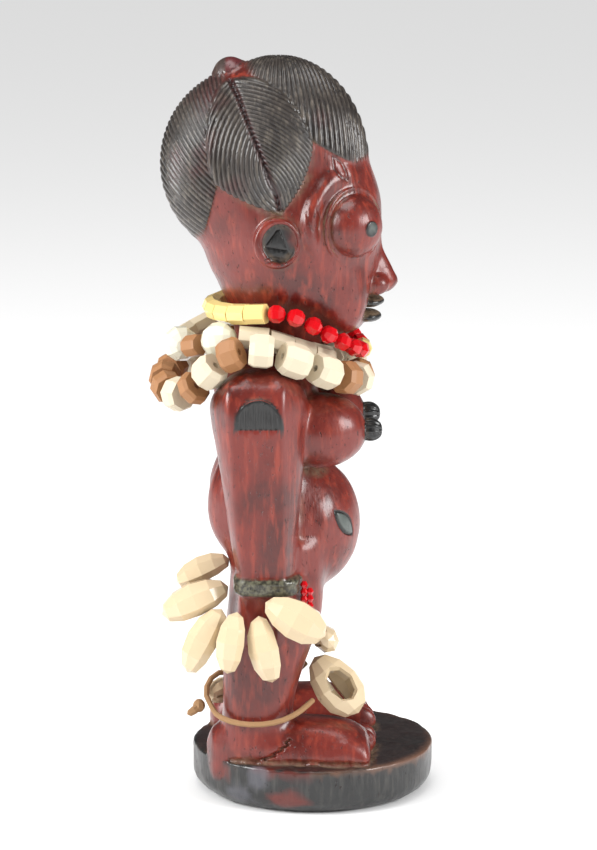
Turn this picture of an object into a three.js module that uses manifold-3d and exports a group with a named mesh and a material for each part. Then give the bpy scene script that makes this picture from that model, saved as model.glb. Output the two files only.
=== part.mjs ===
// A carved and painted wooden twin figure on its round base, with three bead necklaces,
// cowrie shells at the right wrist and a twine anklet with cowries at the right ankle.
// Millimetres, +Z up. The figure faces -Y and its right side is towards -X.
// The origin is the centre of the base's underside.

import * as THREE from 'three';
import { mergeVertices } from 'three/addons/utils/BufferGeometryUtils.js';
import Module from 'manifold-3d';

const wasm = await Module();
wasm.setup();

// Driving dimensions of the carved block
const BASE_RADIUS = 42.5;
const BASE_HEIGHT = 16;
const BASE_FLAT_RADIUS = 38;
const HEAD_CENTRE = [0, 7.5, 197];
const HEAD_RADII = [26, 30.5, 29];
const BROW_CENTRE = [0, 8, 209];
const BROW_RADII = [24.5, 30.8, 24];
const HAIR_FRONT_CENTRE = [0, 12, 222];
const HAIR_FRONT_RADII = [25, 31, 37];
const HAIR_BACK_CENTRE = [0, 21.5, 222];
const HAIR_BACK_RADII = [25, 31.2, 33];
const LOBE_CENTRE = [0, 17, 221];
const LOBE_RADII = [29, 34, 37.5];
const KNOB_CENTRE = [0, 28.5, 252.5];
const KNOB_RADIUS = 5.8;
const HAIRLINE_FRONT = { y: 0, z: 232, slope: 0.63 };
const HAIRLINE_BACK = { y: 33, z: 216.5, slope: -0.244 };
const EYE_CENTRE = [16, -13.2, 202.3];
const EYE_TURN = 47;
const EYE_RADIUS = 13.3;
const EYEBALL_RADIUS = 11;
const EYEBALL_HEIGHT = 9;
const EAR_CENTRE = [26, 12.4, 198];
const EAR_RADIUS = 8;
const BREAST_CENTRE = [14.5, -2.4, 130.8];
const BREAST_RADII = [13.8, 16.2, 13];
const NIPPLE_RADIUS = 3.7;
const PATCH_CENTRE = [37.2, 18.7, 136.4];
const PATCH_RADIUS = 8.3;
const BELLY_MARK = [15.5, -10.9, 98];

// Driving dimensions of what it wears
const GAP = 0.3;
const CHOKER = { front: -17.4, back: 35, half: 25.8, zFront: 157, zSide: 173.4, zBack: 171.7,
  lean: 0, turnFrom: 0.2, turnTo: 0.95 };
const MIDDLE = { front: -8.2, back: 47, half: 22.4, zFront: 154.2, zSide: 164.8, zBack: 159.2,
  lean: 0.05, turnFrom: 0.3, turnTo: 1.05 };
const LOWER = { front: -16.2, back: 52, half: 32.5, zFront: 147.1, zSide: 162.3, zBack: 146,
  lean: 0.16, turnFrom: 0.25, turnTo: 0.88 };
const TWINE_DIAMETER = 2;
const RED_BEAD = 6.6;
const YELLOW_BEAD = 7.2;
const YELLOW_LENGTH = 6.6;
const MILKY_BEAD = 12.6;
const SPACER_LENGTH = 6.8;
const CREAM_BEAD = 7.9;
const SHELL_BEAD = 12;
const BROWN_BEAD = 11.2;
const SHELL_HOLE = 2.6;
const SEED_BEAD = 2.6;
const SEEDS_ON_A_STRAND = 4;
const SEED_STRAND_FEET = [[-32.4, 3.2, 71], [-31.6, 1.2, 68.4]];

// Choker: red beads each side of the throat bead. Middle necklace: how far its first bead sits
// before the nape, the gaps beside its large beads and between its runs, and the bead lengths.
const REDS_EACH_SIDE = 7;
const MIDDLE_START = -2;
const MILKY_GAP = 1.4;
const RUN_GAP = 2.6;
const CREAM_LENGTHS = { right: [9.6, 8, 8, 9], throat: [9, 8.4, 9, 8.4], left: [9.4, 9, 9.4, 9, 9] };

// Lower necklace: its thick beads in order from the nape over the right shoulder
const LOWER_START = -6;
const LOWER_BEADS = [
  ['brown', 7.8], ['brown', 7.4], ['white', 7.5], ['mottled', 4.8], ['white', 8.2], ['tan', 7.2],
  ['white', 8.4], ['cream', 10], ['cream', 9.6], ['tan', 8], ['white', 7.4], ['brown', 7.2],
  ['cream', 8.8], ['white', 8.8], ['tan', 7.8], ['cream', 8.8], ['white', 7.2], ['brown', 6.4],
  ['white', 7.8], ['cream', 7.6], ['brown', 7],
];

// Cowries: length, centre, the way the broad end points and the way the dome faces
const COWRIE_WIDTH = 0.63;
const COWRIE_HEIGHT = 0.44;
const WRIST_COWRIES = {
  top: [20.5, [-16, 38.4, 81], [0.05, 0.9, -0.42], [0, 0.4, 0.9]],
  back: [25, [-28.5, 40.8, 73.4], [-0.1, 0.92, -0.38], [-0.2, 0.36, 0.9]],
  back_low: [25, [-35.8, 37.4, 61], [-0.15, 0.48, -0.87], [-0.1, 0.86, 0.5]],
  low: [21.5, [-44.4, 27.8, 62.6], [-0.15, 0.16, -0.97], [-0.25, 0.95, 0.17]],
  front_low: [23.5, [-44.2, 16.4, 60.3], [-0.12, -0.2, -0.97], [-0.3, 0.93, -0.15]],
  front: [23.5, [-44, 6.2, 70.8], [-0.1, -0.87, -0.48], [-0.8, -0.2, 0.55]],
};
const ANKLE_COWRIES = {
  back: [16, [-8.6, 31.6, 35.6], [0.74, -0.67, 0], [0.6, 0.74, 0.3]],
  top: [18, [-11.5, -3.4, 55.2], [-0.95, -0.2, 0.2], [0, -0.75, 0.65]],
  open: [25, [-17, -8.2, 40], [-0.25, -0.62, -0.74], [-0.8, -0.2, 0.44]],
};
const ANKLE_COWRIE_HEIGHT = 0.5;
const OPEN_COWRIE_WIDTH = 0.7;
const OPEN_COWRIE_WALL = 1.8;
const TWINE_HOLE = [-22.4, -0.2, 36.2];

// The anklet's twine, from the open cowrie round the outside of the ankle, over the back cowrie
// and round the inside to the top cowrie
const TWINE_ROUTE = [
  [-23.4, 0.2, 36.2], [-27, 2.4, 35.2], [-30.7, 5.7, 33.6], [-33.7, 10.6, 32], [-35, 16.8, 31],
  [-34.8, 23.4, 30.9], [-31.9, 29.6, 31.4], [-27, 33.8, 32.4], [-21.4, 35.6, 33.8], [-16.8, 37.4, 36.2],
  [-13.2, 36.8, 39.9], [-9.4, 33, 42.4], [-6.6, 26.6, 41.6], [-6.2, 19.4, 40.2], [-7, 12.4, 40.6],
  [-9.2, 5.8, 43], [-11.2, 2.6, 46.4],
];
const TWINE_STEPS = 26;
const KNOT_CENTRE = [-19.6, 39.9, 33.3];
const KNOT_TAIL = [-21.4, 41.6, 32.1];

const wood = { color: 0x6b1c14, roughness: 0.42, metalness: 0 };
const redGlass = { color: 0xc01020, roughness: 0.12, metalness: 0 };
const yellowGlass = { color: 0xe2cf7e, roughness: 0.35, metalness: 0 };
const milkyGlass = { color: 0xe3e0d0, roughness: 0.2, metalness: 0 };
const creamBone = { color: 0xddd2b8, roughness: 0.55, metalness: 0 };
const brownBone = { color: 0xa9703f, roughness: 0.6, metalness: 0 };
const cowrieShell = { color: 0xe0caa6, roughness: 0.3, metalness: 0 };
const twineFibre = { color: 0xa98558, roughness: 0.95, metalness: 0 };

const figure = new THREE.Group();

// Turns a closed three.js geometry into a solid that can be joined and cut.
function solid(geometry) {
  geometry.deleteAttribute('normal');
  geometry.deleteAttribute('uv');
  const merged = mergeVertices(geometry, 1e-4);
  const mesh = new wasm.Mesh({
    numProp: 3,
    vertProperties: new Float32Array(merged.attributes.position.array),
    triVerts: new Uint32Array(merged.index.array),
  });
  return new wasm.Manifold(mesh);
}

function geometryOf(body) {
  const mesh = body.getMesh();
  const geometry = new THREE.BufferGeometry();
  geometry.setAttribute('position', new THREE.BufferAttribute(new Float32Array(mesh.vertProperties), 3));
  geometry.setIndex(new THREE.BufferAttribute(new Uint32Array(mesh.triVerts), 1));
  geometry.computeVertexNormals();
  return geometry;
}

function addPiece(name, geometry, finish) {
  const mesh = new THREE.Mesh(geometry, new THREE.MeshStandardMaterial(finish));
  mesh.name = name;
  figure.add(mesh);
  return mesh;
}

function joined(bodies) {
  return bodies.reduce((whole, body) => whole.add(body));
}

// Moves every vertex of a geometry by a function of its place.
function reshape(geometry, move) {
  const place = geometry.attributes.position;
  const point = new THREE.Vector3();
  for (let i = 0; i < place.count; i += 1) {
    point.fromBufferAttribute(place, i);
    move(point);
    place.setXYZ(i, point.x, point.y, point.z);
  }
  return geometry;
}

function ball(centre, radii, around, upward, turn = [0, 0, 0]) {
  const sphere = new THREE.SphereGeometry(1, around, upward);
  sphere.rotateX(Math.PI / 2);
  sphere.scale(...radii);
  sphere.rotateX(THREE.MathUtils.degToRad(turn[0]));
  sphere.rotateY(THREE.MathUtils.degToRad(turn[1]));
  sphere.rotateZ(THREE.MathUtils.degToRad(turn[2]));
  sphere.translate(...centre);
  return solid(sphere);
}

// The same body on the other side of the figure.
function mirrored(body) {
  return body.mirror([1, 0, 0]);
}

function bothSides(body) {
  return body.add(mirrored(body));
}

// A limb from stations [height, x, y, half width, half depth] up the z axis. Squareness over 2
// flattens its faces.
function limb(stations, around, squareness = 2) {
  const rows = stations.length - 1;
  const tube = new THREE.CylinderGeometry(1, 1, 1, around, rows);
  tube.rotateX(Math.PI / 2);
  const power = 2 / squareness;
  reshape(tube, (p) => {
    const row = Math.round((p.z + 0.5) * rows);
    const [height, x, y, halfWidth, halfDepth] = stations[row];
    const bulgeX = Math.sign(p.x) * Math.abs(p.x) ** power;
    const bulgeY = Math.sign(p.y) * Math.abs(p.y) ** power;
    p.set(x + bulgeX * halfWidth, y + bulgeY * halfDepth, height);
  });
  return solid(tube);
}

// A block to cut with
function block(centre, size) {
  const box = new THREE.BoxGeometry(...size);
  box.translate(...centre);
  return solid(box);
}

// The round base, its lower edge rounded in towards the flat underside
function roundBase() {
  const edge = BASE_RADIUS - BASE_FLAT_RADIUS;
  const profile = [
    new THREE.Vector2(0, 0),
    new THREE.Vector2(BASE_FLAT_RADIUS, 0),
    new THREE.Vector2(BASE_RADIUS - edge * 0.3, edge * 0.45),
    new THREE.Vector2(BASE_RADIUS, edge * 1.1),
    new THREE.Vector2(BASE_RADIUS, BASE_HEIGHT - 1),
    new THREE.Vector2(BASE_RADIUS - 1, BASE_HEIGHT),
    new THREE.Vector2(0, BASE_HEIGHT),
  ];
  const disc = new THREE.LatheGeometry(profile, 24);
  disc.rotateX(Math.PI / 2);
  return solid(disc);
}

// One foot with five toes, along the y axis from the heel to the front
function foot() {
  const stations = [
    [-36.8, 19, 14.6, 2.2, 3],
    [-34.5, 19.2, 15.4, 6.4, 7.6],
    [-30, 19.8, 15.4, 9.6, 11.4],
    [-20, 20.8, 15.4, 12.2, 13.8],
    [-4, 21.4, 15.4, 13, 14.4],
    [7, 21.6, 15.4, 13.6, 13.4],
    [13, 21.8, 15.4, 13.8, 11.4],
    [18, 22, 15, 13.4, 8],
  ];
  const sole = limb(stations, 10, 2.4).rotate([90, 0, 0]);
  const toes = [0, 1, 2, 3, 4].map((toe) => {
    const x = 10.6 + toe * 5.6;
    const reach = 22.2 - 0.35 * toe * toe;
    return ball([x, -(reach - 7), 17.6], [2.9, 7, 4.6], 5, 4, [-20, 0, 0]);
  });
  const upper = block([0, 0, 60 + BASE_HEIGHT - 1], [200, 200, 120]);
  return joined([sole, ...toes]).intersect(upper);
}

function leg() {
  return limb([
    [22, 20.4, 20, 12.4, 12.6],
    [31, 20.6, 19.4, 12, 12.2],
    [40, 20.4, 18.6, 12.2, 12.8],
    [52, 19.6, 16.6, 13.2, 14.6],
    [64, 18.4, 13.8, 14, 16.2],
    [76, 16.8, 12.8, 14.4, 16.3],
    [90, 15, 12.5, 13, 15],
  ], 10, 2.3);
}

// Shoulder to wrist with flattened faces, the carved wrist band and the mitten hand on the thigh
function arm() {
  const upper = limb([
    [154.6, 26, 18.4, 5.5, 6],
    [152, 27.2, 18.4, 8.2, 10],
    [148, 28.6, 18.2, 9.8, 14.4],
    [142, 29.3, 18.4, 10.3, 17],
    [136, 29.8, 18.4, 9.8, 16.7],
    [126, 30.2, 17.9, 9, 15.3],
    [114, 30.6, 17.4, 8.4, 13.8],
    [99, 31, 17, 8, 12.1],
    [84, 31.2, 16.2, 7.4, 10.4],
    [76, 31, 16, 7, 9.8],
  ].reverse(), 8, 3);
  const band = limb([
    [77.4, 31.1, 16.1, 7.4, 10.3],
    [78, 31.1, 16.1, 7.9, 10.8],
    [82, 31.1, 16.1, 7.9, 11],
    [82.6, 31.1, 16.1, 7.4, 10.6],
  ], 8, 3);
  const hand = limb([
    [58, 28.4, 16, 3, 6.5],
    [61, 29, 16, 4.6, 9],
    [69, 30, 16, 5.6, 9.8],
    [77, 31, 16, 6.6, 9.6],
  ], 8, 2.6);
  return joined([upper, hand, band]);
}

// Half-round carved patch on the upper arm, flat edge down
function armPatch() {
  const shape = new THREE.Shape();
  shape.absarc(0, 0, PATCH_RADIUS, 0, Math.PI, false);
  const plate = new THREE.ExtrudeGeometry(shape, { depth: 3, bevelEnabled: false, curveSegments: 4 });
  plate.scale(1, 1.18, 1);
  plate.rotateX(Math.PI / 2);
  plate.rotateZ(Math.PI / 2);
  plate.translate(PATCH_CENTRE[0] - 0.6, PATCH_CENTRE[1], PATCH_CENTRE[2]);
  return solid(plate);
}

function torso() {
  const trunk = limb([
    [74, 0, 12, 24, 14],
    [84, 0, 12, 27, 17],
    [96, 0, 14, 25.5, 19],
    [108, 0, 15.5, 22.5, 18.5],
    [121, 0, 16, 20.5, 16],
    [133, 0, 15.5, 22.5, 17],
    [145, 0, 16, 26, 17.5],
    [151, 0, 16.5, 26, 14.5],
    [156, 0, 15, 18, 12.5],
  ], 10, 2.3);
  const belly = ball([0, 4, 95], [23, 20.5, 24], 10, 7);
  const buttock = ball([11.5, 20.5, 104], [14.5, 16.2, 21], 8, 6);
  const breast = ball(BREAST_CENTRE, BREAST_RADII, 10, 7);
  const nipple = new THREE.CylinderGeometry(NIPPLE_RADIUS, NIPPLE_RADIUS * 0.8, 6, 8, 1);
  nipple.translate(BREAST_CENTRE[0], BREAST_CENTRE[1] - BREAST_RADII[1] - 1.4, BREAST_CENTRE[2]);
  const mark = ball(BELLY_MARK, [1.6, 2.2, 5], 6, 5, [24, 0, 48]);
  return joined([
    trunk, belly, bothSides(buttock), bothSides(breast), bothSides(solid(nipple)), bothSides(mark),
  ]);
}

function neck() {
  return limb([
    [148, 0, 13, 17, 15],
    [158, 0, 12.5, 15.5, 15],
    [168, 0, 12, 15, 16],
    [180, 0, 13, 17, 18],
  ], 8);
}

// A raised rim with a bulging eyeball on it, turned outward from the nose
function eye() {
  const profile = [
    new THREE.Vector2(0, -7),
    new THREE.Vector2(EYE_RADIUS, -7),
    new THREE.Vector2(EYE_RADIUS - 1, 1),
    new THREE.Vector2(EYEBALL_RADIUS, 0.6),
    new THREE.Vector2(EYEBALL_RADIUS * 0.8, EYEBALL_HEIGHT * 0.55),
    new THREE.Vector2(EYEBALL_RADIUS * 0.45, EYEBALL_HEIGHT * 0.88),
    new THREE.Vector2(0, EYEBALL_HEIGHT),
  ];
  const disc = new THREE.LatheGeometry(profile, 10);
  disc.rotateX(Math.PI);
  disc.rotateZ(THREE.MathUtils.degToRad(EYE_TURN));
  disc.translate(...EYE_CENTRE);
  return solid(disc);
}

function ear() {
  const profile = [
    new THREE.Vector2(0, -4),
    new THREE.Vector2(EAR_RADIUS, -4),
    new THREE.Vector2(EAR_RADIUS, 2.4),
    new THREE.Vector2(EAR_RADIUS - 1.6, 2.8),
    new THREE.Vector2(EAR_RADIUS - 2, 0.8),
    new THREE.Vector2(0, 0.8),
  ];
  const disc = new THREE.LatheGeometry(profile, 10);
  disc.rotateZ(-Math.PI / 2);
  disc.translate(...EAR_CENTRE);
  return solid(disc);
}

function face() {
  const jaw = ball([0, 4, 181], [19.5, 24, 17], 10, 7);
  const cheek = ball([10.5, -9.5, 177], [8.6, 9.2, 13], 8, 6, [0, 8, 0]);
  const chin = ball([0, -9.5, 168], [11, 8.6, 6], 8, 6);
  const bridge = limb([
    [177.5, 0, -21, 5.2, 7.4],
    [180.5, 0, -21.6, 6.2, 7.8],
    [185, 0, -20.8, 4.6, 6.8],
    [192, 0, -18.6, 3.4, 5.4],
    [202, 0, -18, 3, 4],
  ], 8);
  const wing = ball([5.2, -21.2, 180], [3.4, 4.4, 3.4], 6, 5);
  const upperLip = ball([0, -19.2, 173.8], [7.4, 5.4, 2.3], 8, 5);
  const lowerLip = ball([0, -18.6, 168.4], [6.6, 5, 2.3], 8, 5);
  return joined([jaw, bothSides(cheek), chin, bridge, bothSides(wing), upperLip, lowerLip]);
}

// The outline of the raised side lobe as seen from the side, pointed at both ends
function lobeOutline() {
  const shape = new THREE.Shape();
  shape.moveTo(29, 252);
  shape.bezierCurveTo(38, 246, 37.5, 226, 33.5, 218);
  shape.bezierCurveTo(30, 212, 20, 208, 11.5, 207.5);
  shape.bezierCurveTo(6, 212, 0, 222, 0.3, 230.5);
  shape.bezierCurveTo(4, 244, 14, 256, 29, 252);
  return shape;
}

function sideLobe() {
  const options = { depth: 40, bevelEnabled: false, curveSegments: 3 };
  const leaf = new THREE.ExtrudeGeometry(lobeOutline(), options);
  leaf.applyMatrix4(new THREE.Matrix4().set(0, 0, 1, 0, 1, 0, 0, 0, 0, 1, 0, 0, 0, 0, 0, 1));
  const shell = ball(LOBE_CENTRE, LOBE_RADII, 12, 8);
  return shell.intersect(solid(leaf));
}

function hair() {
  const frontTilt = THREE.MathUtils.radToDeg(Math.atan(HAIRLINE_FRONT.slope));
  const frontKeep = block([0, 0, 100], [200, 200, 200])
    .rotate([frontTilt, 0, 0]).translate([0, HAIRLINE_FRONT.y, HAIRLINE_FRONT.z]);
  const backTilt = THREE.MathUtils.radToDeg(Math.atan(-HAIRLINE_BACK.slope));
  const backKeep = block([0, 100, 0], [200, 200, 200])
    .rotate([backTilt, 0, 0]).translate([0, HAIRLINE_BACK.y, HAIRLINE_BACK.z]);
  const front = ball(HAIR_FRONT_CENTRE, HAIR_FRONT_RADII, 12, 9).intersect(frontKeep);
  const back = ball(HAIR_BACK_CENTRE, HAIR_BACK_RADII, 12, 9).intersect(backKeep);
  const knob = ball(KNOB_CENTRE, [KNOB_RADIUS, KNOB_RADIUS, KNOB_RADIUS], 8, 6);
  return joined([front, back, knob, bothSides(sideLobe())]);
}

function carvedFigure() {
  const skull = ball(HEAD_CENTRE, HEAD_RADII, 12, 8).add(ball(BROW_CENTRE, BROW_RADII, 12, 7));
  return joined([
    roundBase(),
    bothSides(foot()),
    bothSides(leg()),
    torso(),
    bothSides(arm()),
    bothSides(armPatch()),
    neck(),
    skull,
    bothSides(eye()),
    bothSides(ear()),
    face(),
    hair(),
  ]);
}

// A necklace's path: an oval round the neck, high on the shoulders and lower at the throat and nape.
// It starts at the nape and passes the right shoulder first.
class Necklace extends THREE.Curve {
  constructor(sizes) {
    super();
    this.sizes = sizes;
    this.arcLengthDivisions = 400;
  }

  getPoint(t, target = new THREE.Vector3()) {
    const { front, back, half, zFront, zSide, zBack, lean, turnFrom, turnTo } = this.sizes;
    const angle = 2 * Math.PI * t;
    const along = Math.cos(angle);
    const x = -half * Math.sin(angle);
    const y = (front + back) / 2 + (along * (back - front)) / 2;
    const drop = along > 0
      ? (zSide - zBack) * THREE.MathUtils.smoothstep(along, turnFrom, turnTo)
      : (zSide - zFront) * Math.abs(along) ** 1.2;
    return target.set(x, y, zSide - drop + lean * x * Math.max(along, 0));
  }
}

function roundBead(diameter, around, upward) {
  return new THREE.SphereGeometry(diameter / 2, around, upward);
}

// A cylinder bead along the y axis with its edges taken off, solid
function barrelBead(length, diameter, around) {
  const radius = diameter / 2;
  const half = length / 2;
  const profile = [
    new THREE.Vector2(0, -half),
    new THREE.Vector2(radius * 0.9, -half),
    new THREE.Vector2(radius, -half * 0.7),
    new THREE.Vector2(radius, half * 0.7),
    new THREE.Vector2(radius * 0.9, half),
    new THREE.Vector2(0, half),
  ];
  return new THREE.LatheGeometry(profile, around);
}

// A thick bead along the y axis, with a hole right through it
function boredBead(length, diameter, hole, around) {
  const radius = diameter / 2;
  const half = length / 2;
  const profile = [
    new THREE.Vector2(hole / 2, -half + 0.4),
    new THREE.Vector2(radius * 0.84, -half),
    new THREE.Vector2(radius, -half * 0.55),
    new THREE.Vector2(radius, half * 0.55),
    new THREE.Vector2(radius * 0.84, half),
    new THREE.Vector2(hole / 2, half - 0.4),
    new THREE.Vector2(hole / 2, -half + 0.4),
  ];
  return new THREE.LatheGeometry(profile, around);
}

// Sets a bead on a necklace between two lengths along it, halfway between the chord and the curve.
function threadOn(geometry, necklace, from, to) {
  const total = necklace.getLength();
  const wrap = (length) => ((length / total) % 1 + 1) % 1;
  const start = necklace.getPointAt(wrap(from));
  const finish = necklace.getPointAt(wrap(to));
  const middle = necklace.getPointAt(wrap((from + to) / 2));
  const centre = start.clone().add(finish).multiplyScalar(0.25).addScaledVector(middle, 0.5);
  const direction = finish.sub(start).normalize();
  const turn = new THREE.Quaternion().setFromUnitVectors(new THREE.Vector3(0, 1, 0), direction);
  geometry.applyQuaternion(turn);
  geometry.translate(centre.x, centre.y, centre.z);
  return geometry;
}

// Cylinder beads that touch end to end, as one solid
function beadRun(necklace, start, lengths, diameter, around) {
  let at = start;
  const beads = lengths.map((length) => {
    const bead = new THREE.CylinderGeometry(diameter / 2, diameter / 2, length + 0.4, around);
    const placed = solid(threadOn(bead, necklace, at, at + length));
    at += length;
    return placed;
  });
  return geometryOf(joined(beads));
}

function makeChoker() {
  const choker = new Necklace(CHOKER);
  const throat = choker.getLength() / 2;
  const pitch = RED_BEAD + GAP;
  addPiece('choker_throat_bead', threadOn(
    barrelBead(YELLOW_LENGTH, RED_BEAD, 8), choker, throat - YELLOW_LENGTH / 2, throat + YELLOW_LENGTH / 2,
  ), yellowGlass);
  const firstRed = YELLOW_LENGTH / 2 + GAP;
  for (let i = 0; i < REDS_EACH_SIDE; i += 1) {
    const near = firstRed + i * pitch;
    const right = threadOn(roundBead(RED_BEAD, 7, 5), choker, throat - near - RED_BEAD, throat - near);
    const left = threadOn(roundBead(RED_BEAD, 7, 5), choker, throat + near, throat + near + RED_BEAD);
    addPiece(`choker_red_right_${i + 1}`, right, redGlass);
    addPiece(`choker_red_left_${i + 1}`, left, redGlass);
  }
  const runEnd = throat - firstRed - REDS_EACH_SIDE * pitch;
  const count = Math.round((2 * runEnd) / YELLOW_LENGTH);
  const lengths = Array(count).fill((2 * (runEnd - GAP)) / count);
  addPiece('choker_yellow_run', beadRun(choker, GAP - runEnd, lengths, YELLOW_BEAD, 8), yellowGlass);
}

function makeMiddleNecklace() {
  const middle = new Necklace(MIDDLE);
  let at = MIDDLE_START;
  addPiece('middle_milky_bead_back', threadOn(
    roundBead(MILKY_BEAD, 10, 7), middle, at, at + MILKY_BEAD,
  ), milkyGlass);
  at += MILKY_BEAD + MILKY_GAP;
  addPiece('middle_spacer_bead', threadOn(
    barrelBead(SPACER_LENGTH, CREAM_BEAD, 8), middle, at, at + SPACER_LENGTH,
  ), brownBone);
  at += SPACER_LENGTH + MILKY_GAP;
  addPiece('middle_milky_bead_side', threadOn(
    roundBead(MILKY_BEAD, 10, 7), middle, at, at + MILKY_BEAD,
  ), milkyGlass);
  at += MILKY_BEAD + MILKY_GAP;
  const left = middle.getLength() + MIDDLE_START - MILKY_GAP - GAP - at;
  const beads = Object.values(CREAM_LENGTHS).flat().reduce((sum, length) => sum + length);
  const stretch = (left - 2 * RUN_GAP) / beads;
  Object.entries(CREAM_LENGTHS).forEach(([side, sizes]) => {
    const lengths = sizes.map((length) => length * stretch);
    addPiece(`middle_cream_run_${side}`, beadRun(middle, at, lengths, CREAM_BEAD, 8), creamBone);
    at += lengths.reduce((sum, length) => sum + length) + RUN_GAP;
  });
}

function makeLowerNecklace() {
  const lower = new Necklace(LOWER);
  const used = LOWER_BEADS.reduce((sum, [, length]) => sum + length, 0);
  const gap = (lower.getLength() - used) / LOWER_BEADS.length;
  const finishes = {
    brown: brownBone, mottled: brownBone, tan: brownBone, white: creamBone, cream: creamBone,
  };
  let at = LOWER_START;
  LOWER_BEADS.forEach(([colour, length], i) => {
    const diameter = colour === 'brown' ? BROWN_BEAD : SHELL_BEAD;
    const bead = boredBead(length, diameter, SHELL_HOLE, 8);
    const number = String(i + 1).padStart(2, '0');
    addPiece(`lower_${colour}_bead_${number}`, threadOn(bead, lower, at, at + length), finishes[colour]);
    at += length + gap;
  });
}

// A cowrie with its narrow end at -x, its dome up and its toothed slit down. A broken back opens
// the dome onto the hollow.
function cowrie(length, width, height, broken = false) {
  const around = broken ? 10 : 8;
  const shape = new THREE.SphereGeometry(1, around, 6);
  shape.rotateZ(Math.PI / 2);
  reshape(shape, (p) => {
    const up = p.z > 0 ? p.z * height * 0.6 : -(Math.abs(p.z) ** 0.7) * height * 0.4;
    p.set(p.x * length * 0.5, p.y * width * 0.5 * (1 + 0.14 * p.x), up);
  });
  const slit = new THREE.CylinderGeometry(length * 0.45, length * 0.45, 1.1, 8);
  slit.scale(1, 1, 0.35);
  slit.translate(0, 0, -height * 0.46);
  const shell = solid(shape).subtract(solid(slit));
  if (!broken) {
    return shell;
  }
  const wall = OPEN_COWRIE_WALL;
  const hollow = ball([0.6, 0, 0.8], [length / 2 - wall, width / 2 - wall, height / 2 - wall], 8, 5);
  const opening = ball([1, 0, height * 0.62], [length * 0.33, width * 0.33, height * 0.42], 8, 4);
  return shell.subtract(hollow).subtract(opening);
}

// Turns a cowrie so that its broad end points along axis and its dome towards dome.
function setCowrie(shell, centre, axis, dome) {
  const long = new THREE.Vector3(...axis).normalize();
  const up = new THREE.Vector3(...dome);
  up.addScaledVector(long, -up.dot(long)).normalize();
  const across = new THREE.Vector3().crossVectors(up, long);
  const geometry = geometryOf(shell);
  geometry.applyMatrix4(new THREE.Matrix4().makeBasis(long, across, up));
  geometry.translate(...centre);
  return geometry;
}

function makeWristCowries() {
  Object.entries(WRIST_COWRIES).forEach(([place, [length, centre, axis, dome]]) => {
    const shell = cowrie(length, length * COWRIE_WIDTH, length * COWRIE_HEIGHT);
    addPiece(`wrist_cowrie_${place}`, setCowrie(shell, centre, axis, dome), cowrieShell);
  });
}

function makeAnkleCowries() {
  ['back', 'top'].forEach((place) => {
    const [length, centre, axis, dome] = ANKLE_COWRIES[place];
    const shell = cowrie(length, length * COWRIE_WIDTH, length * ANKLE_COWRIE_HEIGHT);
    addPiece(`ankle_cowrie_${place}`, setCowrie(shell, centre, axis, dome), cowrieShell);
  });
  const [length, centre, axis, dome] = ANKLE_COWRIES.open;
  const open = cowrie(length, length * OPEN_COWRIE_WIDTH, length * COWRIE_HEIGHT, true);
  const hole = ball(TWINE_HOLE, [2, 3.2, 2], 8, 6, [0, 0, 30]);
  addPiece('ankle_cowrie_open', geometryOf(solid(setCowrie(open, centre, axis, dome)).subtract(hole)),
    cowrieShell);
}

// Two short strands of tiny red beads between the wrist and the thigh, as one solid
function makeRedSeedBeads() {
  const profile = [new THREE.Vector2(0, 0)];
  for (let i = 0; i < SEEDS_ON_A_STRAND; i += 1) {
    profile.push(new THREE.Vector2(SEED_BEAD * 0.28, SEED_BEAD * (i + 0.04)));
    profile.push(new THREE.Vector2(SEED_BEAD * 0.52, SEED_BEAD * (i + 0.5)));
  }
  profile.push(new THREE.Vector2(SEED_BEAD * 0.28, SEED_BEAD * (SEEDS_ON_A_STRAND - 0.04)));
  profile.push(new THREE.Vector2(0, SEED_BEAD * SEEDS_ON_A_STRAND));
  const strands = SEED_STRAND_FEET.map((foot) => {
    const strand = new THREE.LatheGeometry(profile, 6);
    strand.rotateX(Math.PI / 2);
    strand.translate(...foot);
    return solid(strand);
  });
  addPiece('wrist_red_seed_beads', geometryOf(joined(strands)), redGlass);
}

function makeTwine() {
  const points = TWINE_ROUTE.map((p) => new THREE.Vector3(...p));
  const route = new THREE.CatmullRomCurve3(points, false, 'centripetal');
  const section = new THREE.Shape();
  section.absarc(0, 0, TWINE_DIAMETER / 2, 0, 2 * Math.PI, false);
  const options = { steps: TWINE_STEPS, curveSegments: 4, extrudePath: route };
  const tube = new THREE.ExtrudeGeometry(section, options);
  addPiece('ankle_twine', geometryOf(solid(tube)), twineFibre);
  const knot = ball(KNOT_CENTRE, [2.6, 2.2, 2.4], 8, 6);
  const tail = ball(KNOT_TAIL, [1.4, 3.2, 1.6], 6, 4, [-30, 0, 20]);
  addPiece('ankle_twine_knot', geometryOf(knot.add(tail)), twineFibre);
}

addPiece('carved_figure', geometryOf(carvedFigure()), wood);
makeChoker();
makeMiddleNecklace();
makeLowerNecklace();
makeWristCowries();
makeRedSeedBeads();
makeAnkleCowries();
makeTwine();

export default figure;
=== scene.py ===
import math

import bpy
import numpy as np
from bpy.props import FloatProperty, FloatVectorProperty, IntProperty, PointerProperty
from mathutils import Matrix, Vector


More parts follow.
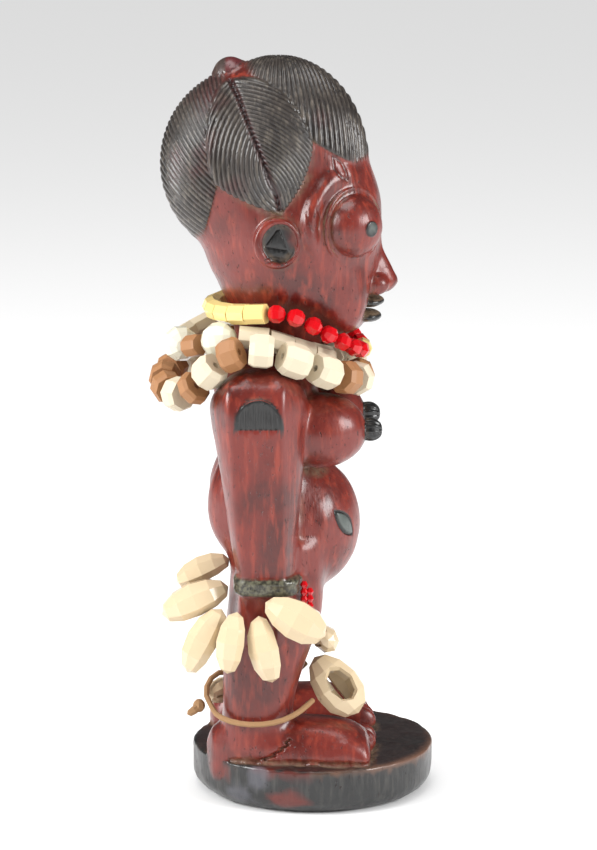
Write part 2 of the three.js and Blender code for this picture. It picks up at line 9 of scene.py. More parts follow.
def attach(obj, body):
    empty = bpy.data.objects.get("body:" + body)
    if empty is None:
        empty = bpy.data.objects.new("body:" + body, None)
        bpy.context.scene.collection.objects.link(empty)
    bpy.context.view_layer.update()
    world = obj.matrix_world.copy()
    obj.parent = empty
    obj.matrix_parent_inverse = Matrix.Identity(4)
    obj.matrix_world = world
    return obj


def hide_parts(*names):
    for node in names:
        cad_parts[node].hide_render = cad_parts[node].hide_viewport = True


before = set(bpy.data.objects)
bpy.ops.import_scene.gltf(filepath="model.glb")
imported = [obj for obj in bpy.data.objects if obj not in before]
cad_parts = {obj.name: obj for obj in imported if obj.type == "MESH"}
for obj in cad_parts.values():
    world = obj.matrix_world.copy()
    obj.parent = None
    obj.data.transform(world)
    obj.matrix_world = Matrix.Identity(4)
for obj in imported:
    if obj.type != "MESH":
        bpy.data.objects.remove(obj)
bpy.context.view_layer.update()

bl_info = {
    "name": "Carved twin figure",
    "version": (1, 0, 0),
    "blender": (4, 5, 0),
    "location": "3D View > Sidebar > Twin figure",
    "description": "Makes a carved and painted twin figure with its beads, cowries and twine",
    "category": "Object",
}

# Lengths are in millimetres, and MM turns them into Blender's metres. The figure faces -Y, up is +Z,
# and its right side is towards -X.
MM = 0.001
FAR = 40.0

BASE_RADIUS = 42.5
BASE_HEIGHT = 16.0
EYE_CENTRE = (16.0, -13.2, 202.3)
EYE_TURN = math.radians(47)
EYEBALL_RADIUS = 11.0
EYEBALL_HEIGHT = 9.8
EAR_CENTRE = (26.0, 12.4, 198.0)
EAR_RADIUS = 8.0
BREAST_CENTRE = (14.5, -2.4, 130.8)
NIPPLE_CENTRE = (14.5, -19.6, 130.9)
PATCH_CENTRE = (37.2, 18.7, 136.4)
PATCH_RADIUS = 8.3
MARK_CENTRE = (16.2, -12.4, 97.8)
MARK_TURN = math.radians(46)
HAIR_DEPTH = 0.62


def rotation(x, y, z):
    """The matrix that turns a body's own axes by these degrees about X, then Y, then Z."""
    turns = [Matrix.Rotation(math.radians(angle), 3, axis) for angle, axis in ((x, "X"), (y, "Y"), (z, "Z"))]
    return np.array(turns[2] @ turns[1] @ turns[0])


# Distance fields of the carving

def smooth_min(a, b, k):
    h = np.maximum(k - np.abs(a - b), 0) / k
    return np.minimum(a, b) - h * h * k * 0.25


def smooth_max(a, b, k):
    return -smooth_min(-a, -b, k)


def length_of(v):
    return np.sqrt((v * v).sum(axis=1))


def step_between(low, high, value):
    """0 at low, 1 at high, and smooth between them."""
    t = np.clip((value - low) / (high - low), 0, 1)
    return t * t * (3 - 2 * t)


class Form:
    """One rounded body of the carving: how far a point is from it, and the box that holds it."""

    def __init__(self, distance, low, high, blend):
        self.distance = distance
        self.low = np.array(low, np.float32)
        self.high = np.array(high, np.float32)
        self.blend = blend

    def near(self, points, reach):
        return np.flatnonzero(((points > self.low - reach) & (points < self.high + reach)).all(axis=1))


def ball(centre, radii, blend, turn=None):
    centre = np.array(centre, np.float32)
    radii = np.array(radii, np.float32)
    matrix = None if turn is None else rotation(*turn).astype(np.float32)
    reach = np.full(3, radii.max()) if turn else radii

    def distance(p):
        q = p - centre
        if matrix is not None:
            q = q @ matrix
        q = q / radii
        near = length_of(q)
        return near * (near - 1) / np.maximum(length_of(q / radii), 1e-6)

    return Form(distance, centre - reach, centre + reach, blend)


def smooth_stations(rows, steps=10):
    """Stations [height, x, y, half width, half depth] with smooth ones filled in between them."""
    rows = np.array(rows, float)
    fine = []
    last = len(rows) - 1
    for i in range(last):
        before, here, there, after = (rows[min(max(i + k, 0), last)] for k in (-1, 0, 1, 2))
        run = there[0] - here[0]
        leave = (there - before) / (there[0] - before[0]) * run
        arrive = (after - here) / (after[0] - here[0]) * run
        for s in range(steps):
            t = s / steps
            fine.append(
                here * (1 - 3 * t**2 + 2 * t**3) + there * (3 * t**2 - 2 * t**3)
                + leave * (t - 2 * t**2 + t**3) + arrive * (t**3 - t**2)
            )
    fine.append(rows[-1])
    return np.array(fine).astype(np.float32)


def limb(rows, blend, power=2.3, cap=2.5):
    """A body lofted through stations up the Z axis. A power over 2 flattens its faces."""
    table = smooth_stations(rows)
    low_z, high_z = table[0, 0], table[-1, 0]

    def distance(p):
        cx, cy, hx, hy = (np.interp(p[:, 2], table[:, 0], table[:, c]).astype(np.float32) for c in range(1, 5))
        u = np.abs((p[:, 0] - cx) / hx) + 1e-4
        v = np.abs((p[:, 1] - cy) / hy) + 1e-4
        r = (u**power + v**power) ** (1 / power)
        slope = np.sqrt((u ** (power - 1) / hx) ** 2 + (v ** (power - 1) / hy) ** 2) * r ** (1 - power)
        return smooth_max((r - 1) / slope, np.maximum(p[:, 2] - high_z, low_z - p[:, 2]), cap)

    spread = table[:, 3:5].max(axis=0)
    low = [table[:, 1].min() - spread[0], table[:, 2].min() - spread[1], low_z]
    high = [table[:, 1].max() + spread[0], table[:, 2].max() + spread[1], high_z]
    return Form(distance, low, high, blend)


def turned_to_front(form):
    """The same body with its height along the -Y axis and its depth upwards."""
    def distance(p):
        return form.distance(np.stack([p[:, 0], p[:, 2], -p[:, 1]], axis=1))

    low = [form.low[0], -form.high[2], form.low[1]]
    high = [form.high[0], -form.low[2], form.high[1]]
    return Form(distance, low, high, form.blend)


def smooth_stretch(ends, handles, steps=9):
    """Points of a Bezier stretch from its first end up to, but not with, its last."""
    t = np.linspace(0, 1, steps, endpoint=False)[:, None]
    first, last = np.array(ends, float)
    near, far = np.array(handles, float)
    return first * (1 - t) ** 3 + 3 * near * t * (1 - t) ** 2 + 3 * far * t**2 * (1 - t) + last * t**3


def lobe_outline():
    """The leaf shape of the side lobe as (y, z) points, tip down and stem at the knob."""
    stem, rear, tip, front = (29, 252), (33.2, 218), (11.2, 207.5), (0.3, 231)
    return np.concatenate([
        smooth_stretch([stem, rear], [(38, 246), (37.5, 226)]),
        smooth_stretch([rear, tip], [(30, 214.5), (21, 211)]),
        smooth_stretch([tip, front], [(6.6, 213), (0.6, 222)]),
        smooth_stretch([front, stem], [(4, 244), (14, 256)]),
    ])


LOBE_OUTLINE = lobe_outline()


def arm_form():
    """Shoulder to wrist: a flat outer face between two long ridges, bevelled to the front and back."""
    table = smooth_stations([
        [76, 31, 16, 6.9, 9.6],
        [84, 31.2, 16.2, 7.4, 10.4],
        [99, 31, 17, 8.1, 12.2],
        [114, 30.6, 17.4, 8.6, 13.9],
        [126, 30.2, 17.9, 9.2, 15.4],
        [136, 29.8, 18.4, 9.9, 16.8],
        [142, 29.3, 18.4, 10.3, 17.1],
        [148, 28.2, 18.2, 9.6, 14.4],
        [152, 26.6, 18.2, 7.6, 10],
        [155, 25, 18, 4, 5],
    ])
    bevel_across, bevel_deep = math.cos(math.radians(52)), math.sin(math.radians(52))

    def distance(p):
        cx, cy, hx, hy = (np.interp(p[:, 2], table[:, 0], table[:, c]).astype(np.float32) for c in range(1, 5))
        u = p[:, 0] - cx
        v = np.abs(p[:, 1] - cy)
        low = np.clip(p[:, 2] - 86, 0, 60)
        w = np.abs(p[:, 1] - 17.6 - 0.037 * low)
        ridge = 7.3 + 0.037 * low
        face = u - hx + 0.25 * np.exp(-((w / 5) ** 2))
        bevel = (u - hx) * bevel_across + (w - ridge) * bevel_deep
        outer = smooth_max(smooth_max(face, bevel, 1.3), v - hy, 5)
        shell = smooth_max(outer, -u - hx, 6)
        return smooth_max(shell, np.maximum(p[:, 2] - 154.6, 76 - p[:, 2]), 3)

    return Form(distance, [14, -3, 76], [42, 38, 156], 2.2)


def in_eye_frame(p):
    """Across, up and out from the eye's centre."""
    q = p - np.array(EYE_CENTRE, np.float32)
    out = np.array([math.sin(EYE_TURN), -math.cos(EYE_TURN), 0], np.float32)
    across = np.array([math.cos(EYE_TURN), math.sin(EYE_TURN), 0], np.float32)
    return q @ across, q[:, 2], q @ out


def eye_forms():
    centre = np.array(EYE_CENTRE)

    def ring(radius, thick, height, above_only):
        def distance(p):
            across, up, out = in_eye_frame(p)
            r = np.sqrt(across**2 + up**2)
            tube = np.sqrt((r - radius) ** 2 + (out - height) ** 2) - thick
            if above_only:
                tube = tube + 2.6 * step_between(-2, -12, up) + 5 * step_between(1, -8, across)
            return tube
        return distance

    def disc(p):
        across, up, out = in_eye_frame(p)
        r = np.sqrt(across**2 + up**2)
        return smooth_max(r - 13.4, out - 0.2, 0.6)

    def eyeball(p):
        across, up, out = in_eye_frame(p)
        q = np.stack([across / EYEBALL_RADIUS, up / EYEBALL_RADIUS, out / EYEBALL_HEIGHT], axis=1)
        near = length_of(q)
        radii = np.array([EYEBALL_RADIUS, EYEBALL_RADIUS, EYEBALL_HEIGHT], np.float32)
        return near * (near - 1) / np.maximum(length_of(q / radii), 1e-6)

    def pupil(p):
        across, up, out = in_eye_frame(p)
        r = np.sqrt(across**2 + up**2)
        return smooth_max(r - 2.7, np.abs(out - EYEBALL_HEIGHT + 0.8) - 1.15, 0.5)

    low, high = centre - 20, centre + 20
    return [
        Form(ring(17.4, 2.5, -2.8, True), low, high, 2.4),
        Form(disc, low, high, 0.6),
        Form(eyeball, low, high, 0.6),
        Form(ring(12.9, 0.62, 0.5, False), low, high, 0.35),
        Form(pupil, low, high, 0.4),
    ]


def ear_form():
    """A round ear with a thin rim in front and a thick raised crescent behind."""
    centre = np.array(EAR_CENTRE, np.float32)

    def distance(p):
        q = p - centre
        y, z = q[:, 1] / 0.9, q[:, 2]
        r = np.sqrt(y**2 + z**2)
        lean = 0.16 * q[:, 1]
        disc = smooth_max(r - EAR_RADIUS - 0.7, np.abs(q[:, 0] + 1 - lean) - 3.7, 1.6)
        shift = np.sqrt((y + 1.1) ** 2 + z**2)
        hollow = smooth_max(shift - EAR_RADIUS + 1.2, 0.1 + lean - q[:, 0], 0.5)
        return smooth_max(disc, -hollow, 0.8)

    return Form(distance, centre - 10, centre + 10, 0.9)


def brow_under_hair():
    """The skin that rises to the hairline in front and behind, a little under the hair."""
    front = plane_cut(
        ball((0, 12, 222), (24.2, 30.3, 36.2), 0), lambda p: (p[:, 1] * 0.63 + 221 - p[:, 2]) * 0.846, 5, 8)
    back = plane_cut(
        ball((0, 21.5, 222), (24.2, 30.4, 32.2), 0),
        lambda p: (22 - 0.244 * (p[:, 2] - 216.5) - p[:, 1]) * 0.971, 5, 8)
    return [front, back]


def face_forms():
    return [
        ball((0, 7.5, 197), (26, 30.5, 29), 3),
        ball((0, 8, 209), (24.5, 30.8, 24), 6),
        *brow_under_hair(),
        ball((0, 4, 181), (19.5, 24, 17), 8),
        ball((10.5, -9.5, 177), (8.6, 9.2, 13), 3.5, (0, 8, 0)),
        ball((0, -9.5, 168.4), (11, 8.6, 6.2), 3),
        *eye_forms(),
        limb([
            [176.8, 0, -21, 3.6, 5.6],
            [180.5, 0, -21.4, 5.6, 8],
            [185, 0, -20.8, 4.4, 6.9],
            [192, 0, -18.8, 3.3, 5.4],
            [202, 0, -18, 2.8, 4],
        ], 1.8, 2, 1.6),
        ball((5.0, -21.6, 180.2), (3.6, 4.6, 3.6), 1.2),
        ball((0, -19.4, 173.9), (7.4, 5.4, 2.2), 0.9),
        ball((0, -18.8, 168.6), (6.6, 5, 2.2), 0.9),
        ear_form(),
    ]


def lobe_depth(y, z):
    """How far inside the lobe's outline a point is, seen from the side. Negative outside."""
    nearest = np.full(len(y), 1e6)
    inside = np.zeros(len(y), bool)
    for (y0, z0), (y1, z1) in zip(LOBE_OUTLINE, np.roll(LOBE_OUTLINE, -1, axis=0)):
        run = (y1 - y0) ** 2 + (z1 - z0) ** 2
        t = np.clip(((y - y0) * (y1 - y0) + (z - z0) * (z1 - z0)) / run, 0, 1)
        nearest = np.minimum(nearest, np.hypot(y - y0 - t * (y1 - y0), z - z0 - t * (z1 - z0)))
        crosses = (z0 > z) != (z1 > z)
        inside ^= crosses & (y < y0 + (z - z0) / (z1 - z0 + (z1 == z0)) * (y1 - y0))
    return np.where(inside, nearest, -nearest)


def plane_cut(form, keep, blend, round_off=0.9):
    """The body where keep is negative, its cut edge rounded off."""
    return Form(lambda p: smooth_max(form.distance(p), keep(p), round_off), form.low, form.high, blend)


def hair_forms():
    """Front mass, back mass, side lobe and the knob on the crown."""
    front = plane_cut(
        ball((0, 12, 222), (25, 31, 37), 0), lambda p: (232 + 0.63 * p[:, 1] - p[:, 2]) * 0.846, 0.8)
    back = plane_cut(
        ball((0, 21.5, 222), (25, 31.2, 33), 0),
        lambda p: (33 - 0.244 * (p[:, 2] - 216.5) - p[:, 1]) * 0.971, 0.8)
    lobe = plane_cut(
        ball((0, 17, 221), (29, 34, 37.5), 0), lambda p: -lobe_depth(p[:, 1], p[:, 2]), 0.7)
    knob = ball((0, 28.5, 252.5), (5.8, 5.8, 5.8), 2.5)
    return [front, back, lobe, knob]


def body_forms():
    return [
        limb([
            [70, 0, 12, 23, 13],
            [84, 0, 12, 27, 17],
            [96, 0, 14, 25.5, 19],
            [108, 0, 15.5, 22.5, 18.5],
            [121, 0, 16, 20.5, 16],
            [133, 0, 15.5, 22.5, 17],
            [145, 0, 16, 26, 17.5],
            [151, 0, 16.5, 25, 14.5],
            [157, 0, 15, 16, 12.5],
        ], 5),
        ball((0, 4, 95), (23, 20.5, 24), 4),
        ball((11.5, 20.5, 104), (14.5, 16.2, 21), 4),
        ball(BREAST_CENTRE, (13.8, 16.2, 13), 1.6),
        nipple_form(),
        arm_form(),
        hand_form(),
        limb([
            [148, 0, 13, 17, 15],
            [158, 0, 12.5, 15.5, 15],
            [168, 0, 12, 15, 16],
            [180, 0, 13, 17, 18],
        ], 4, 2),
    ]


def nipple_form():
    """A round black button with ribs running to its middle."""
    centre = np.array(NIPPLE_CENTRE, np.float32)

    def distance(p):
        q = p - centre
        angle = np.arctan2(q[:, 2], q[:, 0])
        r = np.sqrt(q[:, 0] ** 2 + q[:, 2] ** 2)
        ribs = 0.22 * np.cos(11 * angle) * step_between(0.4, 2.4, r)
        dome = np.sqrt((r / 3.9) ** 2 + (q[:, 1] / 4.3) ** 2)
        return (dome - 1) * 3.9 - ribs

    return Form(distance, centre - 5, centre + 5, 0.5)


def hand_form():
    """The carved wrist band and the mitten hand flat on the thigh."""
    band = limb([
        [77, 31.1, 16.1, 7.4, 10.3],
        [78, 31.1, 16.1, 8.2, 11.2],
        [82, 31.1, 16.1, 8.4, 11.4],
        [83, 31.1, 16.1, 7.4, 10.6],
    ], 0, 2.8, 0.6)
    hand = limb([
        [57.6, 28.4, 16, 2.6, 5.6],
        [61, 29, 16, 4.6, 9],
        [69, 30, 16, 5.7, 10],
        [77, 31, 16, 6.6, 9.8],
    ], 0, 2.4)

    def distance(p):
        return smooth_min(band.distance(p), hand.distance(p), 0.5)

    return Form(distance, [20, 3, 57], [41, 29, 84], 1.4)


def leg_forms():
    shin = limb([
        [20, 20.4, 20, 12.4, 12.6],
        [31, 20.6, 19.4, 12, 12.2],
        [40, 20.4, 18.6, 12.2, 12.8],
        [52, 19.6, 16.6, 13.2, 14.6],
        [64, 18.4, 13.8, 14, 16.2],
        [76, 16.8, 12.8, 14.4, 16.3],
        [92, 15, 12.5, 13, 15],
    ], 4, 2.3)
    sole = turned_to_front(limb([
        [-37.2, 19, 15.6, 2.2, 6],
        [-34.8, 19.2, 15.6, 7, 10],
        [-30, 19.8, 15.4, 9.8, 12.6],
        [-20, 20.8, 15.4, 12.2, 14.2],
        [-4, 21.4, 15.4, 13, 14.6],
        [7, 21.6, 15.4, 13.8, 13.8],
        [13, 21.8, 15.4, 14, 12.4],
        [18, 22, 15, 13.8, 10],
        [20, 22, 15, 13.2, 7.4],
    ], 3, 2.5))
    toes = [
        ball((10.4 + 5.6 * toe, -(15.6 - 0.35 * toe * toe), 18.4), (3.1, 7, 5.6), 0.9, (-18, 0, 0))
        for toe in range(5)
    ]
    return [shin, sole, *toes]


def base_form():
    def distance(p):
        r = np.sqrt(p[:, 0] ** 2 + p[:, 1] ** 2)
        wall = r - BASE_RADIUS
        lid = smooth_max(wall, p[:, 2] - BASE_HEIGHT, 1.6)
        floor = smooth_max(wall + 0.12, -p[:, 2], 5.0)
        under = (r - 39.6) * 0.62 - (p[:, 2] - 0.9) * 0.62
        return smooth_max(np.maximum(lid, floor), under, 2.0)

    edge = BASE_RADIUS
    return Form(distance, [-edge, -edge, 0], [edge, edge, BASE_HEIGHT], 0.5)


def patch_form():
    """The raised half-round patch on the upper arm, its flat edge down."""
    centre = np.array(PATCH_CENTRE, np.float32)

    def distance(p):
        q = p - centre
        r = np.sqrt(q[:, 1] ** 2 + (q[:, 2] / 1.18) ** 2)
        outline = smooth_max(r - PATCH_RADIUS, -q[:, 2], 0.5)
        return smooth_max(outline, np.abs(q[:, 0] + 1.0) - 3.5, 0.5)

    return Form(distance, centre - 11, centre + 11, 0.35)


def in_mark(p):
    """How far a point lies outside the lens-shaped mark on the belly's flank, along its surface."""
    q = p - np.array(MARK_CENTRE)
    across = q[:, 0] * math.cos(MARK_TURN) + q[:, 1] * math.sin(MARK_TURN)
    out = q[:, 0] * math.sin(MARK_TURN) - q[:, 1] * math.cos(MARK_TURN)
    along = -0.685 * across - 0.728 * q[:, 2]
    aside = 0.728 * across - 0.685 * q[:, 2]
    lens = np.abs(aside) - 2.3 * (1 - (along / 6.0) ** 2)
    return np.where((np.abs(out) < 5) & (np.abs(along) < 8), np.maximum(lens, np.abs(along) - 6.4), 9.0)


SKIN_FORMS = [*body_forms(), *leg_forms(), *face_forms(), patch_form()]
HAIR_FORMS = hair_forms()
BASE_FORM = base_form()


def field_of(forms, points, reach=6.0):
    """Distance from the smooth union of forms, with the figure's two sides folded together."""
    whole = np.full(len(points), FAR, np.float32)
    folded = points.astype(np.float32).copy()
    folded[:, 0] = np.abs(folded[:, 0])
    for form in forms:
        near = form.near(folded, reach)
        if len(near):
            found = form.distance(folded[near])
            if form.blend:
                whole[near] = smooth_min(whole[near], found, form.blend)
            else:
                whole[near] = np.minimum(whole[near], found)
    return whole


def carving_field(points, reach=6.0):
    return field_of([*SKIN_FORMS, *HAIR_FORMS, BASE_FORM], points, reach)


def in_parts(function, points, size=300000):
    return np.concatenate([function(points[i:i + size]) for i in range(0, len(points), size)])


# Meshing

def sample_field(low, high, step, coarse=4):
    """The field on a grid, worked out finely only near the surface."""
    counts = (np.ceil((high - low) / (step * coarse)).astype(int) + 1) * coarse
    rough_axes = [low[a] + step * coarse * (np.arange(counts[a] // coarse) + 0.5) - step / 2 for a in range(3)]
    rough_points = np.stack(np.meshgrid(*rough_axes, indexing="ij"), -1).reshape(-1, 3).astype(np.float32)
    rough = in_parts(carving_field, rough_points)
    shape = counts // coarse
    field = rough.reshape(shape)
    for axis in range(3):
        field = np.repeat(field, coarse, axis=axis)
    near = np.argwhere(np.abs(rough.reshape(shape)) < step * coarse * 1.3)
    inner = np.stack(np.meshgrid(*[np.arange(coarse)] * 3, indexing="ij"), -1).reshape(1, -1, 3)
    cells = (near[:, None, :] * coarse + inner).reshape(-1, 3)
    points = (low + step * cells).astype(np.float32)
    field[cells[:, 0], cells[:, 1], cells[:, 2]] = in_parts(carving_field, points)
    return field


def surface_net(field, low, step):
    """Vertices and outward quads of the surface where the field is zero."""
    inside = field < 0
    size = np.array(field.shape) - 1
    corners = [(i, j, k) for i in (0, 1) for j in (0, 1) for k in (0, 1)]
    some = np.zeros(size, bool)
    every = np.ones(size, bool)
    for i, j, k in corners:
        corner = inside[i:i + size[0], j:j + size[1], k:k + size[2]]
        some |= corner
        every &= corner
    cells = np.argwhere(some & ~every)
    index = np.full(size, -1, np.int32)
    index[cells[:, 0], cells[:, 1], cells[:, 2]] = np.arange(len(cells))
    total = np.zeros((len(cells), 3))
    crossings = np.zeros(len(cells))
    for axis in range(3):
        for start in [c for c in corners if c[axis] == 0]:
            end = tuple(v + (a == axis) for a, v in enumerate(start))
            first = field[tuple((cells + start).T)]
            last = field[tuple((cells + end).T)]
            cross = (first < 0) != (last < 0)
            share = first[cross] / (first[cross] - last[cross])
            total[cross] += start
            total[cross, axis] += share
            crossings[cross] += 1
    vertices = low + step * (cells + total / crossings[:, None])
    quads = []
    for axis in range(3):
        u, v = (axis + 1) % 3, (axis + 2) % 3
        ahead = [slice(None)] * 3
        behind = [slice(None)] * 3
        ahead[axis] = slice(1, None)
        behind[axis] = slice(None, -1)
        edges = np.argwhere(inside[tuple(behind)] != inside[tuple(ahead)])
        edges = edges[(edges[:, u] > 0) & (edges[:, v] > 0) & (edges[:, u] < size[u]) & (edges[:, v] < size[v])]
        around = []
        for du, dv in ((-1, -1), (0, -1), (0, 0), (-1, 0)):
            cell = edges.copy()
            cell[:, u] += du
            cell[:, v] += dv
            around.append(index[tuple(cell.T)])
        quad = np.stack(around, axis=1)
        outward = inside[tuple(edges.T)]
        quad[~outward] = quad[~outward][:, ::-1]
        quads.append(quad[(quad >= 0).all(axis=1)])
    return vertices, np.concatenate(quads)


def to_triangles(vertices, quads):
    """Each quad as two triangles, cut along its shorter diagonal."""
    a, b, c, d = quads.T
    short = length_of(vertices[a] - vertices[c]) < length_of(vertices[b] - vertices[d])
    first = np.where(short[:, None], np.stack([a, b, c], 1), np.stack([a, b, d], 1))
    second = np.where(short[:, None], np.stack([a, c, d], 1), np.stack([b, c, d], 1))
    return np.concatenate([first, second])


def refine(vertices, triangles, chosen):
    """Halves the edges of the chosen triangles, and cuts their neighbours to match."""
    edges = np.sort(triangles[:, [0, 1, 1, 2, 2, 0]].reshape(-1, 3, 2), axis=2)
    keys = edges[:, :, 0].astype(np.int64) * len(vertices) + edges[:, :, 1]
    split_keys = np.unique(keys[chosen])
    slots = np.searchsorted(split_keys, keys)
    slots = np.minimum(slots, len(split_keys) - 1)
    cut = split_keys[slots] == keys
    middle = np.where(cut, len(vertices) + slots, -1)
    ends = np.stack([split_keys // len(vertices), split_keys % len(vertices)], axis=1)
    grown = np.concatenate([vertices, vertices[ends].mean(axis=1)])
    made = [triangles[~cut.any(axis=1)]]
    count = cut.sum(axis=1)
    for turn in range(3):
        order = [(turn + k) % 3 for k in range(3)]
        tri = triangles[:, order]
        mid = middle[:, order]
        one = (count == 1) & (mid[:, 0] >= 0)
        made.append(np.stack([tri[one, 0], mid[one, 0], tri[one, 2]], 1))
        made.append(np.stack([mid[one, 0], tri[one, 1], tri[one, 2]], 1))
        two = (count == 2) & (mid[:, 2] < 0)
        made.append(np.stack([mid[two, 0], tri[two, 1], mid[two, 1]], 1))
        made.append(np.stack([tri[two, 0], mid[two, 0], mid[two, 1]], 1))
        made.append(np.stack([tri[two, 0], mid[two, 1], tri[two, 2]], 1))
        corner = count == 3
        made.append(np.stack([tri[corner, 0], mid[corner, 0], mid[corner, 2]], 1))
    made.append(middle[count == 3])
    return grown, np.concatenate(made)


def vertex_normals(vertices, triangles):
    a, b, c = (vertices[triangles[:, k]] for k in range(3))
    faces = np.cross(b - a, c - a)
    normals = np.zeros_like(vertices)
    for k in range(3):
        for axis in range(3):
            normals[:, axis] += np.bincount(triangles[:, k], faces[:, axis], len(vertices))
    return normals / np.maximum(length_of(normals), 1e-12)[:, None]


def settle(vertices, normals):
    """Moves the vertices along their normals onto the field's surface."""
    value = in_parts(carving_field, vertices)
    probe = in_parts(carving_field, vertices + 0.2 * normals)
    slope = np.clip((probe - value) / 0.2, 0.4, 1.6)
    move = np.clip(value / slope, -0.3, 0.3)
    return vertices - normals * move[:, None]


def lattice_noise(points, size, seed):
    """Smooth random values from -1 to 1 over cells of this size."""
    q = points / size + seed * 17.31
    cell = np.floor(q).astype(np.int64)
    t = q - cell
    t = t * t * (3 - 2 * t)
    total = np.zeros(len(points))
    for i in (0, 1):
        for j in (0, 1):
            for k in (0, 1):
                mixed = (cell[:, 0] + i) * 73856093 ^ (cell[:, 1] + j) * 19349663 ^ (cell[:, 2] + k) * 83492791
                mixed = (mixed ^ (mixed >> 13)) * 1274126177
                value = ((mixed ^ (mixed >> 16)) & 0xFFFF) / 32767.5 - 1
                share = (t[:, 0] if i else 1 - t[:, 0]) * (t[:, 1] if j else 1 - t[:, 1])
                total += value * share * (t[:, 2] if k else 1 - t[:, 2])
    return total


# Cuts and paint of the carving

def along_line(y, z, points):
    """Distance of (y, z) from a line through points."""
    best = np.full(len(y), 1e6)
    for (y0, z0), (y1, z1) in zip(points[:-1], points[1:]):
        run = (y1 - y0) ** 2 + (z1 - z0) ** 2
        t = np.clip(((y - y0) * (y1 - y0) + (z - z0) * (z1 - z0)) / run, 0, 1)
        best = np.minimum(best, np.hypot(y - y0 - t * (y1 - y0), z - z0 - t * (z1 - z0)))
    return best


PARTING = [(28.8, 253), (25.8, 247.6), (23.1, 241), (19.8, 233), (17, 226), (15, 220), (12.4, 214.5), (11.4, 209)]
FOREHEAD_MARK = [
    [(-6.6, 226.8), (-6.9, 222.6), (-9.2, 219.8), (-11.6, 218.2)],
    [(-6.6, 226.8), (-9.6, 224.2), (-11.2, 221.2), (-11.6, 218.2)],
]
TEMPLE_MARK = [[(-1.2, 210), (-2.4, 206), (-1.6, 202.6)], [(2.4, 208.6), (1.6, 204.8), (0, 202.4)]]
FOOT_CRACK = [(8.6, 24.6), (9.6, 22.4), (12.2, 20.6), (14, 18.9), (17.4, 17.4)]


def furrow(phase):
    """Depth of a row of cuts, 1 in each cut and 0 on the round strands between them."""
    return (1 - np.abs(np.sin(np.pi * phase))) ** 1.4


def hair_cuts(p, normals):
    """How deep the strands are cut, which places are hair, and how much of the parting is there."""
    x, y, z = np.abs(p[:, 0]), p[:, 1], p[:, 2]
    folded = np.stack([x, y, z], axis=1).astype(np.float32)
    front, back, lobe, knob = (form.distance(folded) for form in HAIR_FORMS)
    skin = field_of(SKIN_FORMS, p)
    hair = np.minimum(np.minimum(front, back), np.minimum(lobe, knob))
    is_hair = step_between(-0.05, 0.5, skin - hair) * (z > 195)
    on_knob = step_between(0.9, 0.1, knob) * (knob < np.minimum(front, back) + 1.6)
    on_lobe = step_between(0.75, 0.25, lobe) * (lobe_depth(y, z) > -0.6) * (1 - on_knob)
    on_back = step_between(-0.5, 0.5, front - back) * (1 - on_lobe)
    on_front = (1 - on_back) * (1 - on_lobe)
    parting = along_line(y, z, PARTING)
    part_y = np.interp(z, [q[1] for q in PARTING[::-1]], [q[0] for q in PARTING[::-1]])
    ahead = y < part_y
    high = np.clip(1 - ((z - 222) / 37) ** 2, 0.02, 1) ** 0.25
    turn = np.pi / 2 - np.arcsin(np.clip((12 - y) / (31.5 * high), -1, 1))
    front_phase = (28 * turn - 1.5 * np.sin(2 * turn)) / 2.0
    back_phase = np.hypot(y + 1.2, z - 260.4) / 1.55
    lobe_front_phase = np.hypot(y - 28, z - 209) / 1.25
    lobe_back_phase = np.hypot(y - 1, z - 225) / 1.6
    lobe_phase = np.where(ahead, lobe_front_phase, lobe_back_phase)
    cut = on_front * furrow(front_phase) + on_back * furrow(back_phase) + on_lobe * furrow(lobe_phase)
    cut = cut * is_hair * (1 - on_knob)
    split = on_lobe * is_hair * np.exp(-((parting / 0.85) ** 2))
    return cut, is_hair, split, on_lobe * is_hair, on_knob * is_hair


def ear_cuts(p):
    """The triangle cut in the ear's hollow and the arcs under it."""
    y, z = p[:, 1] - EAR_CENTRE[1], p[:, 2] - EAR_CENTRE[2]
    inside = (np.abs(p[:, 0]) > 24) * (np.hypot(y / 0.9, z) < EAR_RADIUS)
    triangle = along_line(y, z, [(-3.9, -3.6), (-1.0, 4.6), (0.0, 4.6), (4.2, -1.2), (-3.6, -2.6)])
    arcs = np.abs(np.hypot(y - 1.5, z + 11) - 6.4)
    arcs = np.minimum(arcs, np.abs(np.hypot(y - 1.5, z + 11) - 5.0)) + 9 * (z > -3) + 9 * (np.abs(y) > 4.4)
    return inside * (np.exp(-((triangle / 0.26) ** 2)) + 0.7 * np.exp(-((arcs / 0.3) ** 2)))


def patch_mask(p, normals):
    """1 on the flat face of the half-round patch on each upper arm."""
    x, y, z = np.abs(p[:, 0]), p[:, 1] - PATCH_CENTRE[1], p[:, 2] - PATCH_CENTRE[2]
    flat = (x > 36) * (z > -0.7) * (z < 10.8) * (np.abs(normals[:, 0]) > 0.4)
    return flat * (np.hypot(y, z / 1.18) < PATCH_RADIUS + 0.3)


def spot(p, centre, reach):
    """A soft spot of the figure's own wear, 1 at its centre and 0 from reach outwards."""
    q = (p - np.array(centre)) / np.array(reach)
    ragged = 0.3 * lattice_noise(p, 1.6, 7) + 0.25 * lattice_noise(p, 3.4, 8)
    return step_between(1.0, 0.55, length_of(q) + ragged)


